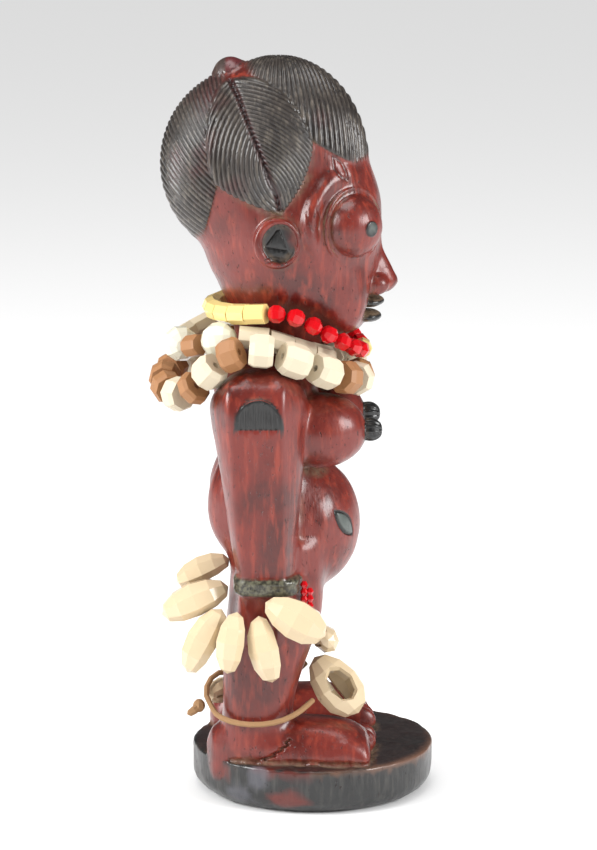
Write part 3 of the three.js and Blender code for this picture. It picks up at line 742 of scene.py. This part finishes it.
def base_wear_and_painted_sheen(p):
    """Where red-brown wood shows through the base's black paint, where its edge is rubbed, and its painted sheen."""
    red = spot(p, (-26.5, 33.4, 12.6), (7, 6, 4.5))
    red = np.maximum(red, 0.8 * spot(p, (-41.2, 8.5, 5.6), (8, 8.5, 3.6)))
    red = np.maximum(red, 0.7 * spot(p, (20, -37, 8), (9, 9, 4)))
    red = np.maximum(red, 0.6 * spot(p, (-40, 12, 14.6), (10, 14, 1.8)))
    rim = np.exp(-(((p[:, 2] - BASE_HEIGHT + 0.7) / 0.8) ** 2)) * (np.hypot(p[:, 0], p[:, 1]) > BASE_RADIUS - 2.2)
    rubbed = step_between(-0.1, 0.5, lattice_noise(p, 13, 9) + 0.3 * lattice_noise(p, 2.5, 10))
    rubbed = np.maximum(rubbed, (p[:, 0] < 0) * step_between(-12, -22, p[:, 1]))
    # Painted reflection: blue-grey sheen spots on the base's side towards -X.
    painted_sheen = spot(p, (-37.8, 20, 11.8), (6, 5, 6)) + 0.8 * spot(p, (-34, 26, 5), (7, 7, 4))
    return np.clip(red, 0, 1), np.clip(rim * rubbed, 0, 1), np.clip(painted_sheen, 0, 1)


def carve(p, normals):
    """The depth of every cut at each vertex, and the masks that the paint and the painted shade follow."""
    x, y, z = np.abs(p[:, 0]), p[:, 1], p[:, 2]
    right = p[:, 0] < 0
    folded = np.stack([x, y, z], axis=1).astype(np.float32)
    cut, is_hair, split, on_lobe, on_knob = hair_cuts(p, normals)
    sink = HAIR_DEPTH * (cut - 0.35 * is_hair) + 1.2 * split
    ear = ear_cuts(p)
    sink = sink + 0.35 * ear
    marks = np.zeros(len(p))
    for strength, lines in ((1.0, FOREHEAD_MARK), (0.6, TEMPLE_MARK)):
        for line in lines:
            near = np.exp(-((along_line(y, z, line) / 0.34) ** 2))
            marks = np.maximum(marks, strength * near * (x > 6) * (z > 198) * (1 - is_hair))
    sink = sink + 0.5 * marks
    patch = patch_mask(p, normals)
    across = y - PATCH_CENTRE[1]
    strokes = furrow(across / 1.72 + 0.5) * (np.hypot(across, z - 137) < 7.4)
    sink = sink + 0.45 * patch * strokes
    lens = in_mark(folded)
    mark_edge = np.exp(-(((lens - 0.5) / 0.42) ** 2))
    sink = sink + 0.55 * mark_edge - 0.25 * step_between(0.1, -0.5, lens)
    crack_line = along_line(y + 0.5 * np.sin(z * 3.1), z, FOOT_CRACK)
    crack = right * (p[:, 0] < -20) * (z > 15.6) * np.exp(-((crack_line / 0.5) ** 2))
    sink = sink + 1.7 * crack
    edge = BASE_RADIUS - np.hypot(p[:, 0], y)
    foot = field_of(leg_forms()[1:], p)
    joint = np.exp(-(((z - BASE_HEIGHT - 0.5) / 1.0) ** 2)) * (edge > 0.5) * step_between(2.2, 0.2, np.abs(foot))
    rough = 0.5 + 0.5 * lattice_noise(p, 1.9, 5)
    sink = sink + joint * rough * 1.1
    fingers = furrow((y - 16) / 4.4 + 0.5) * (z > 58) * (x > 30) * step_between(73, 68, z)
    sink = sink + 0.5 * fingers * (np.abs(y - 16) < 8.5)
    on_band = step_between(1.1, 0.6, np.abs(z - 80.2) - 2.2) * (hand_form().distance(folded) < 0.9) * (x > 20)
    sink = sink + 0.4 * on_band * np.exp(-(((z - 80.2) / 0.5) ** 2))
    facets = 0.16 * lattice_noise(p * [1, 1, 0.5], 5.5, 1) + 0.09 * lattice_noise(p * [1, 1, 0.6], 2.4, 2)
    on_base = step_between(0.5, -0.1, z - BASE_HEIGHT) * step_between(0.9, 0.0, np.abs(BASE_FORM.distance(p)))
    facets = facets * (1 - 0.6 * is_hair) + on_base * (0.3 * lattice_noise(p, 9, 3) + 0.12 * lattice_noise(p, 3, 4))
    sink = sink - facets * step_between(0.1, 2.0, z)
    red, rim, painted_sheen = base_wear_and_painted_sheen(p)
    black, pale = black_paint(folded, patch, lens)
    masks = {
        # The cut mask also places the painted shade in the grooves, the parting, the ear's cuts and the marks.
        "cut": np.clip(cut + split + ear + 0.8 * marks + 0.7 * patch * strokes + mark_edge, 0, 1),
        "hair": is_hair,
        "parting": np.clip(split + 0.8 * on_knob * (y < 30), 0, 1),
        "base": on_base,
        "black": black,
        "pale": pale,
        "band": on_band,
        "gouge": np.clip(0.9 * joint + 0.8 * crack, 0, 1),
        "red": red * on_base,
        "rim": rim,
        "painted_sheen": painted_sheen * on_base,
    }
    return sink, masks


def black_paint(folded, patch, lens):
    """Black paint on the lips, nipples, pupils, ears, arm patches and belly marks, and its paler places."""
    x, y, z = folded.T
    across, up, out = in_eye_frame(folded)
    pupil = step_between(3.0, 2.6, np.hypot(across, up)) * (out > 5)
    pupil_pale = step_between(2.3, 1.6, np.hypot(across + 0.2, up - 0.3)) * (out > 5)
    lips = np.minimum(
        ball((0, -19.4, 173.9), (7.4, 5.4, 2.2), 0).distance(folded),
        ball((0, -18.8, 168.6), (6.6, 5, 2.2), 0).distance(folded))
    lip = step_between(0.4, 0.1, lips) * (z < 177)
    nipple = step_between(0.9, 0.6, nipple_form().distance(folded)) * (y < -17.6)
    ear = np.hypot((y - EAR_CENTRE[1]) / 0.9 + 1.1, z - EAR_CENTRE[2])
    ear = step_between(EAR_RADIUS - 1.1, EAR_RADIUS - 1.5, ear) * (x > 23) * (x < 27.0 + 0.16 * (y - EAR_CENTRE[1]))
    mark = step_between(1.2, 0.9, lens)
    mark_pale = step_between(0.1, -0.3, lens)
    black = np.maximum.reduce([pupil, lip, nipple, ear, patch * 1.0, mark])
    return np.clip(black, 0, 1), np.clip(np.maximum(pupil_pale, mark_pale), 0, 1)


def mesh_from(name, vertices, faces, attributes=None):
    """A smooth-shaded mesh object from places in millimetres."""
    mesh = bpy.data.meshes.new(name)
    mesh.vertices.add(len(vertices))
    mesh.vertices.foreach_set("co", (np.asarray(vertices, float) * MM).astype(np.float32).ravel())
    sides = faces.shape[1]
    mesh.loops.add(faces.size)
    mesh.loops.foreach_set("vertex_index", faces.astype(np.int32).ravel())
    mesh.polygons.add(len(faces))
    mesh.polygons.foreach_set("loop_start", np.arange(0, faces.size, sides, dtype=np.int32))
    mesh.update(calc_edges=True)
    mesh.validate()
    mesh.shade_smooth()
    for key, values in (attributes or {}).items():
        layer = mesh.attributes.new(key, "FLOAT", "POINT")
        layer.data.foreach_set("value", np.asarray(values, np.float32))
    made = bpy.data.objects.new(name, mesh)
    bpy.context.scene.collection.objects.link(made)
    return made


def apply_modifiers(thing):
    """Turns what the modifiers make into the object's own plain mesh."""
    evaluated = thing.evaluated_get(bpy.context.evaluated_depsgraph_get())
    plain = bpy.data.meshes.new_from_object(evaluated)
    thing.modifiers.clear()
    thing.data = plain
    return thing


def sculpt_figure(settings):
    """The carved block as one closed mesh, finest in the hair, the face and the small marks."""
    step = settings.fine_step
    low = np.array([-BASE_RADIUS - 3.0, -BASE_RADIUS - 3.0, -3.0])
    high = np.array([BASE_RADIUS + 3.0, 56.0, 262.0])
    field = sample_field(low, high, step)
    vertices, quads = surface_net(field, low, step)
    triangles = to_triangles(vertices, quads)
    vertices = settle(vertices, vertex_normals(vertices, triangles))
    for level in range(settings.refinements):
        centre = vertices[triangles].mean(axis=1)
        fine = detail_zone(centre, level)
        vertices, triangles = refine(vertices, triangles, fine)
        vertices = settle(vertices, vertex_normals(vertices, triangles))
    normals = vertex_normals(vertices, triangles)
    sink, masks = carve(vertices, normals)
    open_air = in_parts(carving_field, vertices + 3.5 * normals) / 3.5
    masks["dust"] = np.clip(1.05 - open_air, 0, 1) ** 1.5
    vertices = vertices - normals * sink[:, None]
    vertices[:, 2] = np.maximum(vertices[:, 2], 0)
    flat = vertices[:, 2] < 0.05
    vertices[flat, 2] = 0
    made = mesh_from("carved_figure_sculpt", vertices, triangles, masks)
    limit = settings.triangles
    if len(triangles) > limit:
        thin = made.modifiers.new("Thin", "DECIMATE")
        thin.ratio = limit / len(triangles)
        apply_modifiers(made)
    return made


def detail_zone(centre, level):
    """Which triangles lie in the hair, eyes, ears, lips, small marks and toes."""
    x, y, z = np.abs(centre[:, 0]), centre[:, 1], centre[:, 2]
    folded = np.stack([x, y, z], axis=1).astype(np.float32)
    hair = np.min([form.distance(folded) for form in HAIR_FORMS], axis=0) < 0.5
    zone = hair & (z > 196)
    if level == 0:
        spots = [
            (EYE_CENTRE, 14.5), (EAR_CENTRE, 9.5), (NIPPLE_CENTRE, 5.5), (PATCH_CENTRE, 11.5),
            (MARK_CENTRE, 6.5), ((0, -22, 171), 9), ((9, -16, 219), 6),
        ]
        for spot, reach in spots:
            zone |= length_of(folded - np.array(spot, np.float32)) < reach
        zone |= (z > 15) & (z < 30) & (y < -8)
        zone |= (z > 15) & (z < 26) & (centre[:, 0] < -18)
    return zone


# Shaders

class Tree:
    """Adds nodes to a shader or geometry tree by short calls."""

    def __init__(self, tree):
        self.tree = tree

    def add(self, kind, inputs=None, **settings):
        node = self.tree.nodes.new(kind)
        for key, value in settings.items():
            setattr(node, key, value)
        for key, value in (inputs or {}).items():
            if isinstance(value, bpy.types.NodeSocket):
                self.tree.links.new(value, node.inputs[key])
            else:
                node.inputs[key].default_value = value
        return node

    def math(self, operation, first, second=0.0, clamp=False):
        return self.add("ShaderNodeMath", {0: first, 1: second}, operation=operation, use_clamp=clamp).outputs[0]

    def mix(self, share, first, second, blend="MIX"):
        node = self.add("ShaderNodeMix", {0: share, 6: first, 7: second}, data_type="RGBA", blend_type=blend)
        return node.outputs[2]

    def ramp(self, value, low, high, start=0.0, end=1.0):
        node = self.add("ShaderNodeMapRange", {0: value, 1: low, 2: high, 3: start, 4: end})
        return node.outputs[0]

    def noise(self, place, scale, detail=3.0, rough=0.5):
        node = self.add("ShaderNodeTexNoise", {"Vector": place, "Scale": scale, "Detail": detail, "Roughness": rough})
        return node.outputs[0]

    def stretched(self, place, scale):
        return self.add("ShaderNodeMapping", {"Vector": place, "Scale": scale}).outputs[0]

    def mask(self, name):
        return self.add("ShaderNodeAttribute", attribute_name=name).outputs["Fac"]

    def link(self, source, target):
        self.tree.links.new(source, target)


def new_group(name, inputs, outputs):
    """An empty shader node group with these sockets. Returns the tree, its input node and its output node."""
    group = bpy.data.node_groups.new(name, "ShaderNodeTree")
    for label, kind, default in inputs:
        socket = group.interface.new_socket(label, in_out="INPUT", socket_type=kind)
        if default is not None:
            socket.default_value = default
    for label, kind in outputs:
        group.interface.new_socket(label, in_out="OUTPUT", socket_type=kind)
    tree = Tree(group)
    return tree, tree.add("NodeGroupInput"), tree.add("NodeGroupOutput")


def mottled_group():
    """Paint that varies between three colours in soft clouds and fine streaks up the grain."""
    tree, given, made = new_group(
        "Mottled colour",
        [("Vector", "NodeSocketVector", None), ("Colour", "NodeSocketColor", (0.5, 0.5, 0.5, 1)),
         ("Dark", "NodeSocketColor", (0.1, 0.1, 0.1, 1)), ("Light", "NodeSocketColor", (0.8, 0.8, 0.8, 1)),
         ("Scale", "NodeSocketFloat", 60.0), ("Contrast", "NodeSocketFloat", 1.0)],
        [("Color", "NodeSocketColor"), ("Cloud", "NodeSocketFloat")])
    place = given.outputs["Vector"]
    cloud = tree.noise(place, given.outputs["Scale"], 4.0, 0.6)
    fine = tree.noise(tree.stretched(place, (3.0, 3.0, 0.6)), tree.math("MULTIPLY", given.outputs["Scale"], 3.2), 3.0)
    darker = tree.math("MULTIPLY", tree.ramp(cloud, 0.56, 0.36), given.outputs["Contrast"], clamp=True)
    lighter = tree.math("MULTIPLY", tree.ramp(fine, 0.5, 0.72), given.outputs["Contrast"], clamp=True)
    colour = tree.mix(darker, given.outputs["Colour"], given.outputs["Dark"])
    colour = tree.mix(lighter, colour, given.outputs["Light"])
    tree.link(colour, made.inputs["Color"])
    tree.link(cloud, made.inputs["Cloud"])
    return tree.tree


def speckle_group():
    """Small pits and flecks. Gives where they are and a height for a bump."""
    tree, given, made = new_group(
        "Speckle",
        [("Vector", "NodeSocketVector", None), ("Scale", "NodeSocketFloat", 900.0),
         ("Amount", "NodeSocketFloat", 0.5)],
        [("Pits", "NodeSocketFloat"), ("Height", "NodeSocketFloat")])
    place = tree.stretched(given.outputs["Vector"], (1.0, 1.0, 0.45))
    spots = tree.noise(place, given.outputs["Scale"], 2.0, 0.7)
    grain = tree.noise(tree.stretched(given.outputs["Vector"], (1.0, 1.0, 0.12)), given.outputs["Scale"], 2.0)
    edge = tree.math("SUBTRACT", 0.78, tree.math("MULTIPLY", given.outputs["Amount"], 0.2))
    pits = tree.ramp(tree.math("SUBTRACT", spots, edge), -0.03, 0.05)
    height = tree.math("SUBTRACT", tree.math("MULTIPLY", grain, 0.5), pits)
    tree.link(pits, made.inputs["Pits"])
    tree.link(height, made.inputs["Height"])
    return tree.tree


def dust_group():
    """Dust over a colour, thicker where the mask is high, broken up by noise."""
    tree, given, made = new_group(
        "Dust in the cuts",
        [("Vector", "NodeSocketVector", None), ("Color", "NodeSocketColor", (0.2, 0.1, 0.1, 1)),
         ("Dust", "NodeSocketColor", (0.2, 0.15, 0.1, 1)), ("Mask", "NodeSocketFloat", 0.0),
         ("Amount", "NodeSocketFloat", 1.0)],
        [("Color", "NodeSocketColor"), ("Cover", "NodeSocketFloat")])
    broken = tree.ramp(tree.noise(given.outputs["Vector"], 320.0, 4.0, 0.65), 0.3, 0.62)
    cover = tree.math("MULTIPLY", tree.math("MULTIPLY", given.outputs["Mask"], given.outputs["Amount"]), broken, clamp=True)
    tree.link(tree.mix(cover, given.outputs["Color"], given.outputs["Dust"]), made.inputs["Color"])
    tree.link(cover, made.inputs["Cover"])
    return tree.tree


GROUPS = {}


def group_of(name):
    makers = {"mottled": mottled_group, "speckle": speckle_group, "dust": dust_group}
    if name not in GROUPS:
        GROUPS[name] = makers[name]()
    return GROUPS[name]


def new_material(name, **plain):
    """A material with a Principled BSDF, whose plain values are set on its own sockets."""
    material = bpy.data.materials.new(name)
    material.use_nodes = True
    tree = Tree(material.node_tree)
    shader = material.node_tree.nodes["Principled BSDF"]
    for key, value in plain.items():
        shader.inputs[key.replace("_", " ")].default_value = value
    place = tree.add("ShaderNodeTexCoord").outputs["Object"]
    return material, tree, shader, place


def with_alpha(colour):
    return (*colour, 1.0)


def wood_material(settings):
    """Painted and rubbed wood: red-brown skin, black hair and base, dust and painted shade in the cuts."""
    material, tree, shader, place = new_material("Carved painted wood", Coat_Weight=0.3, Coat_Roughness=0.2)
    names = ("cut", "hair", "parting", "base", "black", "pale", "band", "gouge", "dust", "red", "rim", "painted_sheen")
    masks = {key: tree.mask(key) for key in names}
    skin = tree.add("ShaderNodeGroup", {
        "Vector": place, "Colour": with_alpha(settings.skin), "Dark": with_alpha(settings.skin_dark),
        "Light": with_alpha(settings.skin_light), "Scale": 48.0, "Contrast": 0.85,
    }, node_tree=group_of("mottled"))
    hair = tree.add("ShaderNodeGroup", {
        "Vector": place, "Colour": with_alpha(settings.hair), "Dark": with_alpha(settings.hair_dark),
        "Light": with_alpha(settings.hair_light), "Scale": 70.0, "Contrast": 0.9,
    }, node_tree=group_of("mottled"))
    base = tree.add("ShaderNodeGroup", {
        "Vector": place, "Colour": (0.012, 0.0125, 0.0125, 1), "Dark": (0.004, 0.004, 0.004, 1),
        "Light": (0.04, 0.038, 0.034, 1), "Scale": 60.0, "Contrast": 0.8,
    }, node_tree=group_of("mottled"))
    stain = tree.ramp(tree.noise(place, 38.0, 3.0), 0.52, 0.66)
    stained_hair = tree.mix(tree.math("MULTIPLY", stain, 0.75), hair.outputs["Color"], (0.06, 0.006, 0.007, 1))
    worn_base_with_painted_sheen = tree.mix(tree.math("MULTIPLY", masks["red"], 0.85), base.outputs["Color"], (0.15, 0.013, 0.006, 1))
    worn_base_with_painted_sheen = tree.mix(tree.math("MULTIPLY", masks["rim"], 0.8), worn_base_with_painted_sheen, (0.16, 0.075, 0.045, 1))
    # Painted reflection: the blue-grey sheen spots on the black base.
    worn_base_with_painted_sheen = tree.mix(tree.math("MULTIPLY", masks["painted_sheen"], 0.6), worn_base_with_painted_sheen, (0.10, 0.10, 0.12, 1))
    colour = tree.mix(masks["hair"], skin.outputs["Color"], stained_hair)
    colour = tree.mix(masks["parting"], colour, (0.09, 0.004, 0.008, 1))
    colour = tree.mix(masks["base"], colour, worn_base_with_painted_sheen)
    band = tree.mix(tree.ramp(tree.noise(place, 700.0, 3.0), 0.4, 0.62), (0.022, 0.02, 0.013, 1), (0.10, 0.095, 0.06, 1))
    colour = tree.mix(masks["band"], colour, band)
    colour = tree.mix(masks["black"], colour, (0.008, 0.008, 0.008, 1))
    colour = tree.mix(masks["pale"], colour, (0.075, 0.088, 0.08, 1))
    # Painted shade: the cuts, grooves and marks darkened nearly to black.
    shade = tree.math("MULTIPLY", masks["cut"], 0.85)
    colour = tree.mix(shade, colour, (0.006, 0.003, 0.002, 1))
    dust_mask = tree.math("MAXIMUM", tree.ramp(masks["dust"], 0.22, 0.8), tree.math("MULTIPLY", masks["gouge"], 0.8))
    dust = tree.add("ShaderNodeGroup", {
        "Vector": place, "Color": colour, "Dust": with_alpha(settings.dust), "Mask": dust_mask,
        "Amount": settings.dust_amount,
    }, node_tree=group_of("dust"))
    speckle = tree.add("ShaderNodeGroup", {"Vector": place, "Scale": 950.0, "Amount": 0.55},
                       node_tree=group_of("speckle"))
    final = tree.mix(tree.math("MULTIPLY", speckle.outputs["Pits"], 0.7), dust.outputs["Color"], (0.012, 0.003, 0.002, 1))
    tree.link(final, shader.inputs["Base Color"])
    rough = tree.ramp(skin.outputs["Cloud"], 0.3, 0.7, 0.28, 0.44)
    rough = tree.math("ADD", rough, tree.math("MULTIPLY", dust.outputs["Cover"], 0.45))
    rough = tree.math("ADD", rough, tree.math("MULTIPLY", speckle.outputs["Pits"], 0.3), clamp=True)
    tree.link(rough, shader.inputs["Roughness"])
    bump = tree.add("ShaderNodeBump", {"Strength": 0.6, "Distance": 0.0004, "Height": speckle.outputs["Height"]})
    tree.link(bump.outputs[0], shader.inputs["Normal"])
    return material


def bead_material(name, stain, wear, **plain):
    """Bone, shell or opaque glass tinted bead by bead, stained at the bores and pitted outside."""
    material, tree, shader, place = new_material(name, **plain)
    tint = tree.add("ShaderNodeAttribute", attribute_name="tint").outputs["Color"]
    end = tree.mask("end")
    cloud = tree.noise(place, 260.0, 4.0, 0.6)
    bands = tree.noise(tree.stretched(place, (1.0, 1.0, 5.0)), 240.0, 3.0, 0.6)
    warm = tree.mix(tree.math("MULTIPLY", tree.ramp(bands, 0.5, 0.68), wear), tint, stain)
    edge = tree.math("ADD", end, tree.math("MULTIPLY", tree.math("SUBTRACT", cloud, 0.5), 1.4))
    stained = tree.mix(tree.ramp(edge, 0.35, 0.75), warm, stain)
    dark_stain = tree.mix(0.5, stain, (0.03, 0.01, 0.004, 1))
    stained = tree.mix(tree.ramp(end, 0.75, 1.0), stained, dark_stain)
    speckle = tree.add("ShaderNodeGroup", {"Vector": place, "Scale": 620.0, "Amount": wear},
                       node_tree=group_of("speckle"))
    colour = tree.mix(tree.math("MULTIPLY", speckle.outputs["Pits"], 0.8), stained, dark_stain)
    tree.link(colour, shader.inputs["Base Color"])
    bump = tree.add("ShaderNodeBump", {"Strength": 0.3, "Distance": 0.0004, "Height": speckle.outputs["Height"]})
    tree.link(bump.outputs[0], shader.inputs["Normal"])
    rough = tree.ramp(cloud, 0.3, 0.7, max(shader.inputs["Roughness"].default_value - 0.06, 0.03),
                      shader.inputs["Roughness"].default_value + 0.08)
    tree.link(rough, shader.inputs["Roughness"])
    return material


def shell_material(settings):
    """Cowrie: cream outside with warm ends and grey clouds, painted grey-brown shade, and dark red-brown inside."""
    material, tree, shader, place = new_material(
        "Cowrie shell", Coat_Weight=0.35, Coat_Roughness=0.12, Subsurface_Weight=0.12, Subsurface_Scale=0.001)
    inside, lip = tree.mask("inside"), tree.mask("lip")
    cloud = tree.noise(place, 110.0, 3.0, 0.55)
    colour = tree.mix(tree.ramp(cloud, 0.36, 0.62), with_alpha(settings.shade), with_alpha(settings.outside))
    warm = tree.noise(place, 60.0, 2.0)
    colour = tree.mix(tree.ramp(warm, 0.58, 0.72, 0.0, 0.6), colour, with_alpha(settings.warm))
    # Painted shade: grey-brown where the grey mask is high.
    colour = tree.mix(tree.math("MULTIPLY", tree.mask("grey"), 0.75), colour, (0.20, 0.155, 0.12, 1))
    colour = tree.mix(tree.math("MULTIPLY", lip, 0.35), colour, with_alpha(settings.warm))
    # Darker red-brown where the inside mask is, inside the shell.
    inside_colour = tree.mix(tree.ramp(tree.noise(place, 500.0, 4.0), 0.4, 0.6), (0.055, 0.012, 0.007, 1), (0.16, 0.06, 0.035, 1))
    colour = tree.mix(inside, colour, inside_colour)
    tree.link(colour, shader.inputs["Base Color"])
    rough = tree.math("ADD", tree.ramp(cloud, 0.3, 0.7, 0.2, 0.34), tree.math("MULTIPLY", inside, 0.4), clamp=True)
    tree.link(rough, shader.inputs["Roughness"])
    fine = tree.noise(place, 420.0, 3.0)
    bump = tree.add("ShaderNodeBump", {"Strength": 0.12, "Distance": 0.0003, "Height": fine})
    tree.link(bump.outputs[0], shader.inputs["Normal"])
    return material


def twine_material(settings):
    """Dry plant fibre, with painted shade darkening it between the plies."""
    material, tree, shader, place = new_material("Jute twine", Roughness=0.9, Sheen_Weight=0.3)
    cloud = tree.noise(place, 520.0, 4.0, 0.7)
    colour = tree.mix(tree.ramp(cloud, 0.36, 0.64), with_alpha(settings.dark), with_alpha(settings.light))
    # Painted shade: darker where the crease mask lies between the plies.
    colour = tree.mix(tree.math("MULTIPLY", tree.mask("crease"), 0.85), colour, (0.05, 0.02, 0.009, 1))
    colour = tree.mix(tree.mask("old"), colour, (0.09, 0.032, 0.014, 1))
    tree.link(colour, shader.inputs["Base Color"])
    bump = tree.add("ShaderNodeBump", {"Strength": 0.5, "Distance": 0.0003, "Height": tree.noise(place, 1500.0, 2.0)})
    tree.link(bump.outputs[0], shader.inputs["Normal"])
    return material


# Pieces

def finish_piece(made, material, nodes):
    made.data.materials.clear()
    made.data.materials.append(material)
    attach(made, "root")
    if nodes:
        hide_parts(*nodes)
    return made


class CarvingSettings(bpy.types.PropertyGroup):
    """Sizes and colours of the carved figure."""

    fine_step: FloatProperty(
        name="Fine step", description="Spacing of the sculpt's grid in millimetres", default=0.62, min=0.3)
    coarse_step: FloatProperty(
        name="Coarse step", description="Spacing of the grid for a quick look in millimetres", default=1.0, min=0.5)
    refinements: IntProperty(
        name="Refinements", description="How often the hair and the marks are made finer", default=1, min=0, max=2)
    triangles: IntProperty(
        name="Triangles", description="Most triangles in the finished carving", default=194000, min=1000)
    skin: FloatVectorProperty(
        name="Skin", description="Red-brown paint of the body", subtype="COLOR", default=(0.15, 0.014, 0.008))
    skin_dark: FloatVectorProperty(
        name="Dark skin", description="Paint where it is thick", subtype="COLOR", default=(0.055, 0.005, 0.003))
    skin_light: FloatVectorProperty(
        name="Worn skin", description="Paint where it is rubbed", subtype="COLOR", default=(0.24, 0.03, 0.014))
    hair: FloatVectorProperty(
        name="Hair", description="Black paint of the hair", subtype="COLOR", default=(0.045, 0.036, 0.03))
    hair_dark: FloatVectorProperty(
        name="Dark hair", description="Hair paint where it is thick", subtype="COLOR", default=(0.014, 0.011, 0.01))
    hair_light: FloatVectorProperty(
        name="Worn hair", description="Hair paint where it is rubbed", subtype="COLOR", default=(0.12, 0.10, 0.08))
    dust: FloatVectorProperty(
        name="Dust", description="Dust in the cuts and joints", subtype="COLOR", default=(0.20, 0.13, 0.075))
    dust_amount: FloatProperty(
        name="Dust amount", description="How thick the dust lies", subtype="FACTOR", default=0.8, min=0, max=1)


class StageSettings(bpy.types.PropertyGroup):
    """The camera's place and the lights' power."""

    azimuth: FloatProperty(
        name="Azimuth", description="The way the camera looks, from +Y", subtype="ANGLE", default=math.radians(-90))
    elevation: FloatProperty(
        name="Elevation", description="How far the camera looks down", subtype="ANGLE", default=math.radians(11.7))
    distance: FloatProperty(
        name="Distance", description="From the camera to the figure's middle", unit="LENGTH", default=1.3)
    frame_height: FloatProperty(
        name="Frame height", description="Height that the picture takes in there", unit="LENGTH", default=0.2975)
    middle: FloatVectorProperty(
        name="Middle", description="The point at the picture's middle", subtype="TRANSLATION",
        default=(0.0, 0.0051, 0.1295))
    power: FloatProperty(name="Power", description="Power of the largest light in watts", default=14.0)


class FIGURE_OT_stage(bpy.types.Operator):
    """Make the floor, the soft lights and the camera"""

    bl_idname = "figure.stage"
    bl_label = "Make the stage"

    def execute(self, context):
        settings = context.scene.twin_stage
        floor_mesh = bpy.data.meshes.new("floor")
        reach = 9.0
        floor_mesh.from_pydata([(-reach, -reach, 0), (reach, -reach, 0), (reach, reach, 0), (-reach, reach, 0)], [],
                               [(0, 1, 2, 3)])
        floor = bpy.data.objects.new("floor", floor_mesh)
        context.scene.collection.objects.link(floor)
        material, tree, shader, place = new_material("Pale floor", Roughness=0.9)
        shader.inputs["Base Color"].default_value = (0.82, 0.82, 0.82, 1)
        shader.inputs["Specular IOR Level"].default_value = 0.0
        floor_mesh.materials.append(material)
        world = bpy.data.worlds.new("Studio")
        world.use_nodes = True
        sky = Tree(world.node_tree)
        background = world.node_tree.nodes["Background"]
        background.inputs["Color"].default_value = (1, 1, 1, 1)
        path = sky.add("ShaderNodeLightPath")
        strength = sky.math("SUBTRACT", 0.85, sky.math("MULTIPLY", path.outputs["Is Glossy Ray"], 0.75))
        sky.link(strength, background.inputs["Strength"])
        context.scene.world = world
        context.scene.view_settings.view_transform = "Standard"
        lights = [
            ("back light", (-0.35, 0.95, 0.62), 0.55, 1.0),
            ("front light", (-0.45, -0.95, 0.55), 0.5, 0.8),
            ("top light", (-0.1, 0.1, 1.2), 0.6, 0.35),
        ]
        for name, place, size, share in lights:
            data = bpy.data.lights.new(name, "AREA")
            data.shape = "SQUARE"
            data.size = size
            data.energy = settings.power * share
            lamp = bpy.data.objects.new(name, data)
            lamp.location = place
            aim = Vector(settings.middle) - Vector(place)
            lamp.rotation_euler = aim.to_track_quat("-Z", "Y").to_euler()
            context.scene.collection.objects.link(lamp)
        self.make_camera(context, settings)
        return {"FINISHED"}

    def make_camera(self, context, settings):
        data = bpy.data.cameras.new("camera")
        data.sensor_fit = "VERTICAL"
        data.sensor_height = 36.0
        data.lens = data.sensor_height * settings.distance / settings.frame_height
        data.clip_start = 0.05
        data.clip_end = 60.0
        camera = bpy.data.objects.new("camera", data)
        flat = Vector((-math.sin(settings.azimuth), math.cos(settings.azimuth), 0))
        look = flat * math.cos(settings.elevation) - Vector((0, 0, math.sin(settings.elevation)))
        camera.location = Vector(settings.middle) - look * settings.distance
        camera.rotation_euler = look.to_track_quat("-Z", "Y").to_euler()
        context.scene.collection.objects.link(camera)
        context.scene.camera = camera


class FIGURE_OT_carving(bpy.types.Operator):
    """Carve and paint the figure and its base"""

    bl_idname = "figure.carving"
    bl_label = "Carve the figure"

    def execute(self, context):
        settings = context.scene.twin_carving
        made = sculpt_figure(settings)
        finish_piece(made, wood_material(settings), ["carved_figure"])
        return {"FINISHED"}


class FIGURE_PT_panel(bpy.types.Panel):
    """The figure's steps and settings in the sidebar"""

    bl_idname = "FIGURE_PT_panel"
    bl_label = "Twin figure"
    bl_space_type = "VIEW_3D"
    bl_region_type = "UI"
    bl_category = "Twin figure"

    def draw(self, context):
        for operator in OPERATORS:
            self.layout.operator(operator.bl_idname)


OPERATORS = [FIGURE_OT_stage, FIGURE_OT_carving]
SETTINGS = {"twin_carving": CarvingSettings, "twin_stage": StageSettings}


def register():
    for key, group in SETTINGS.items():
        bpy.utils.register_class(group)
        setattr(bpy.types.Scene, key, PointerProperty(type=group))
    for item in [*OPERATORS, FIGURE_PT_panel]:
        bpy.utils.register_class(item)


def unregister():
    for item in [FIGURE_PT_panel, *OPERATORS]:
        bpy.utils.unregister_class(item)
    for key, group in SETTINGS.items():
        delattr(bpy.types.Scene, key)
        bpy.utils.unregister_class(group)


def main():
    register()
    bpy.ops.figure.stage()
    bpy.ops.figure.carving()


if __name__ == "__main__":
    main()
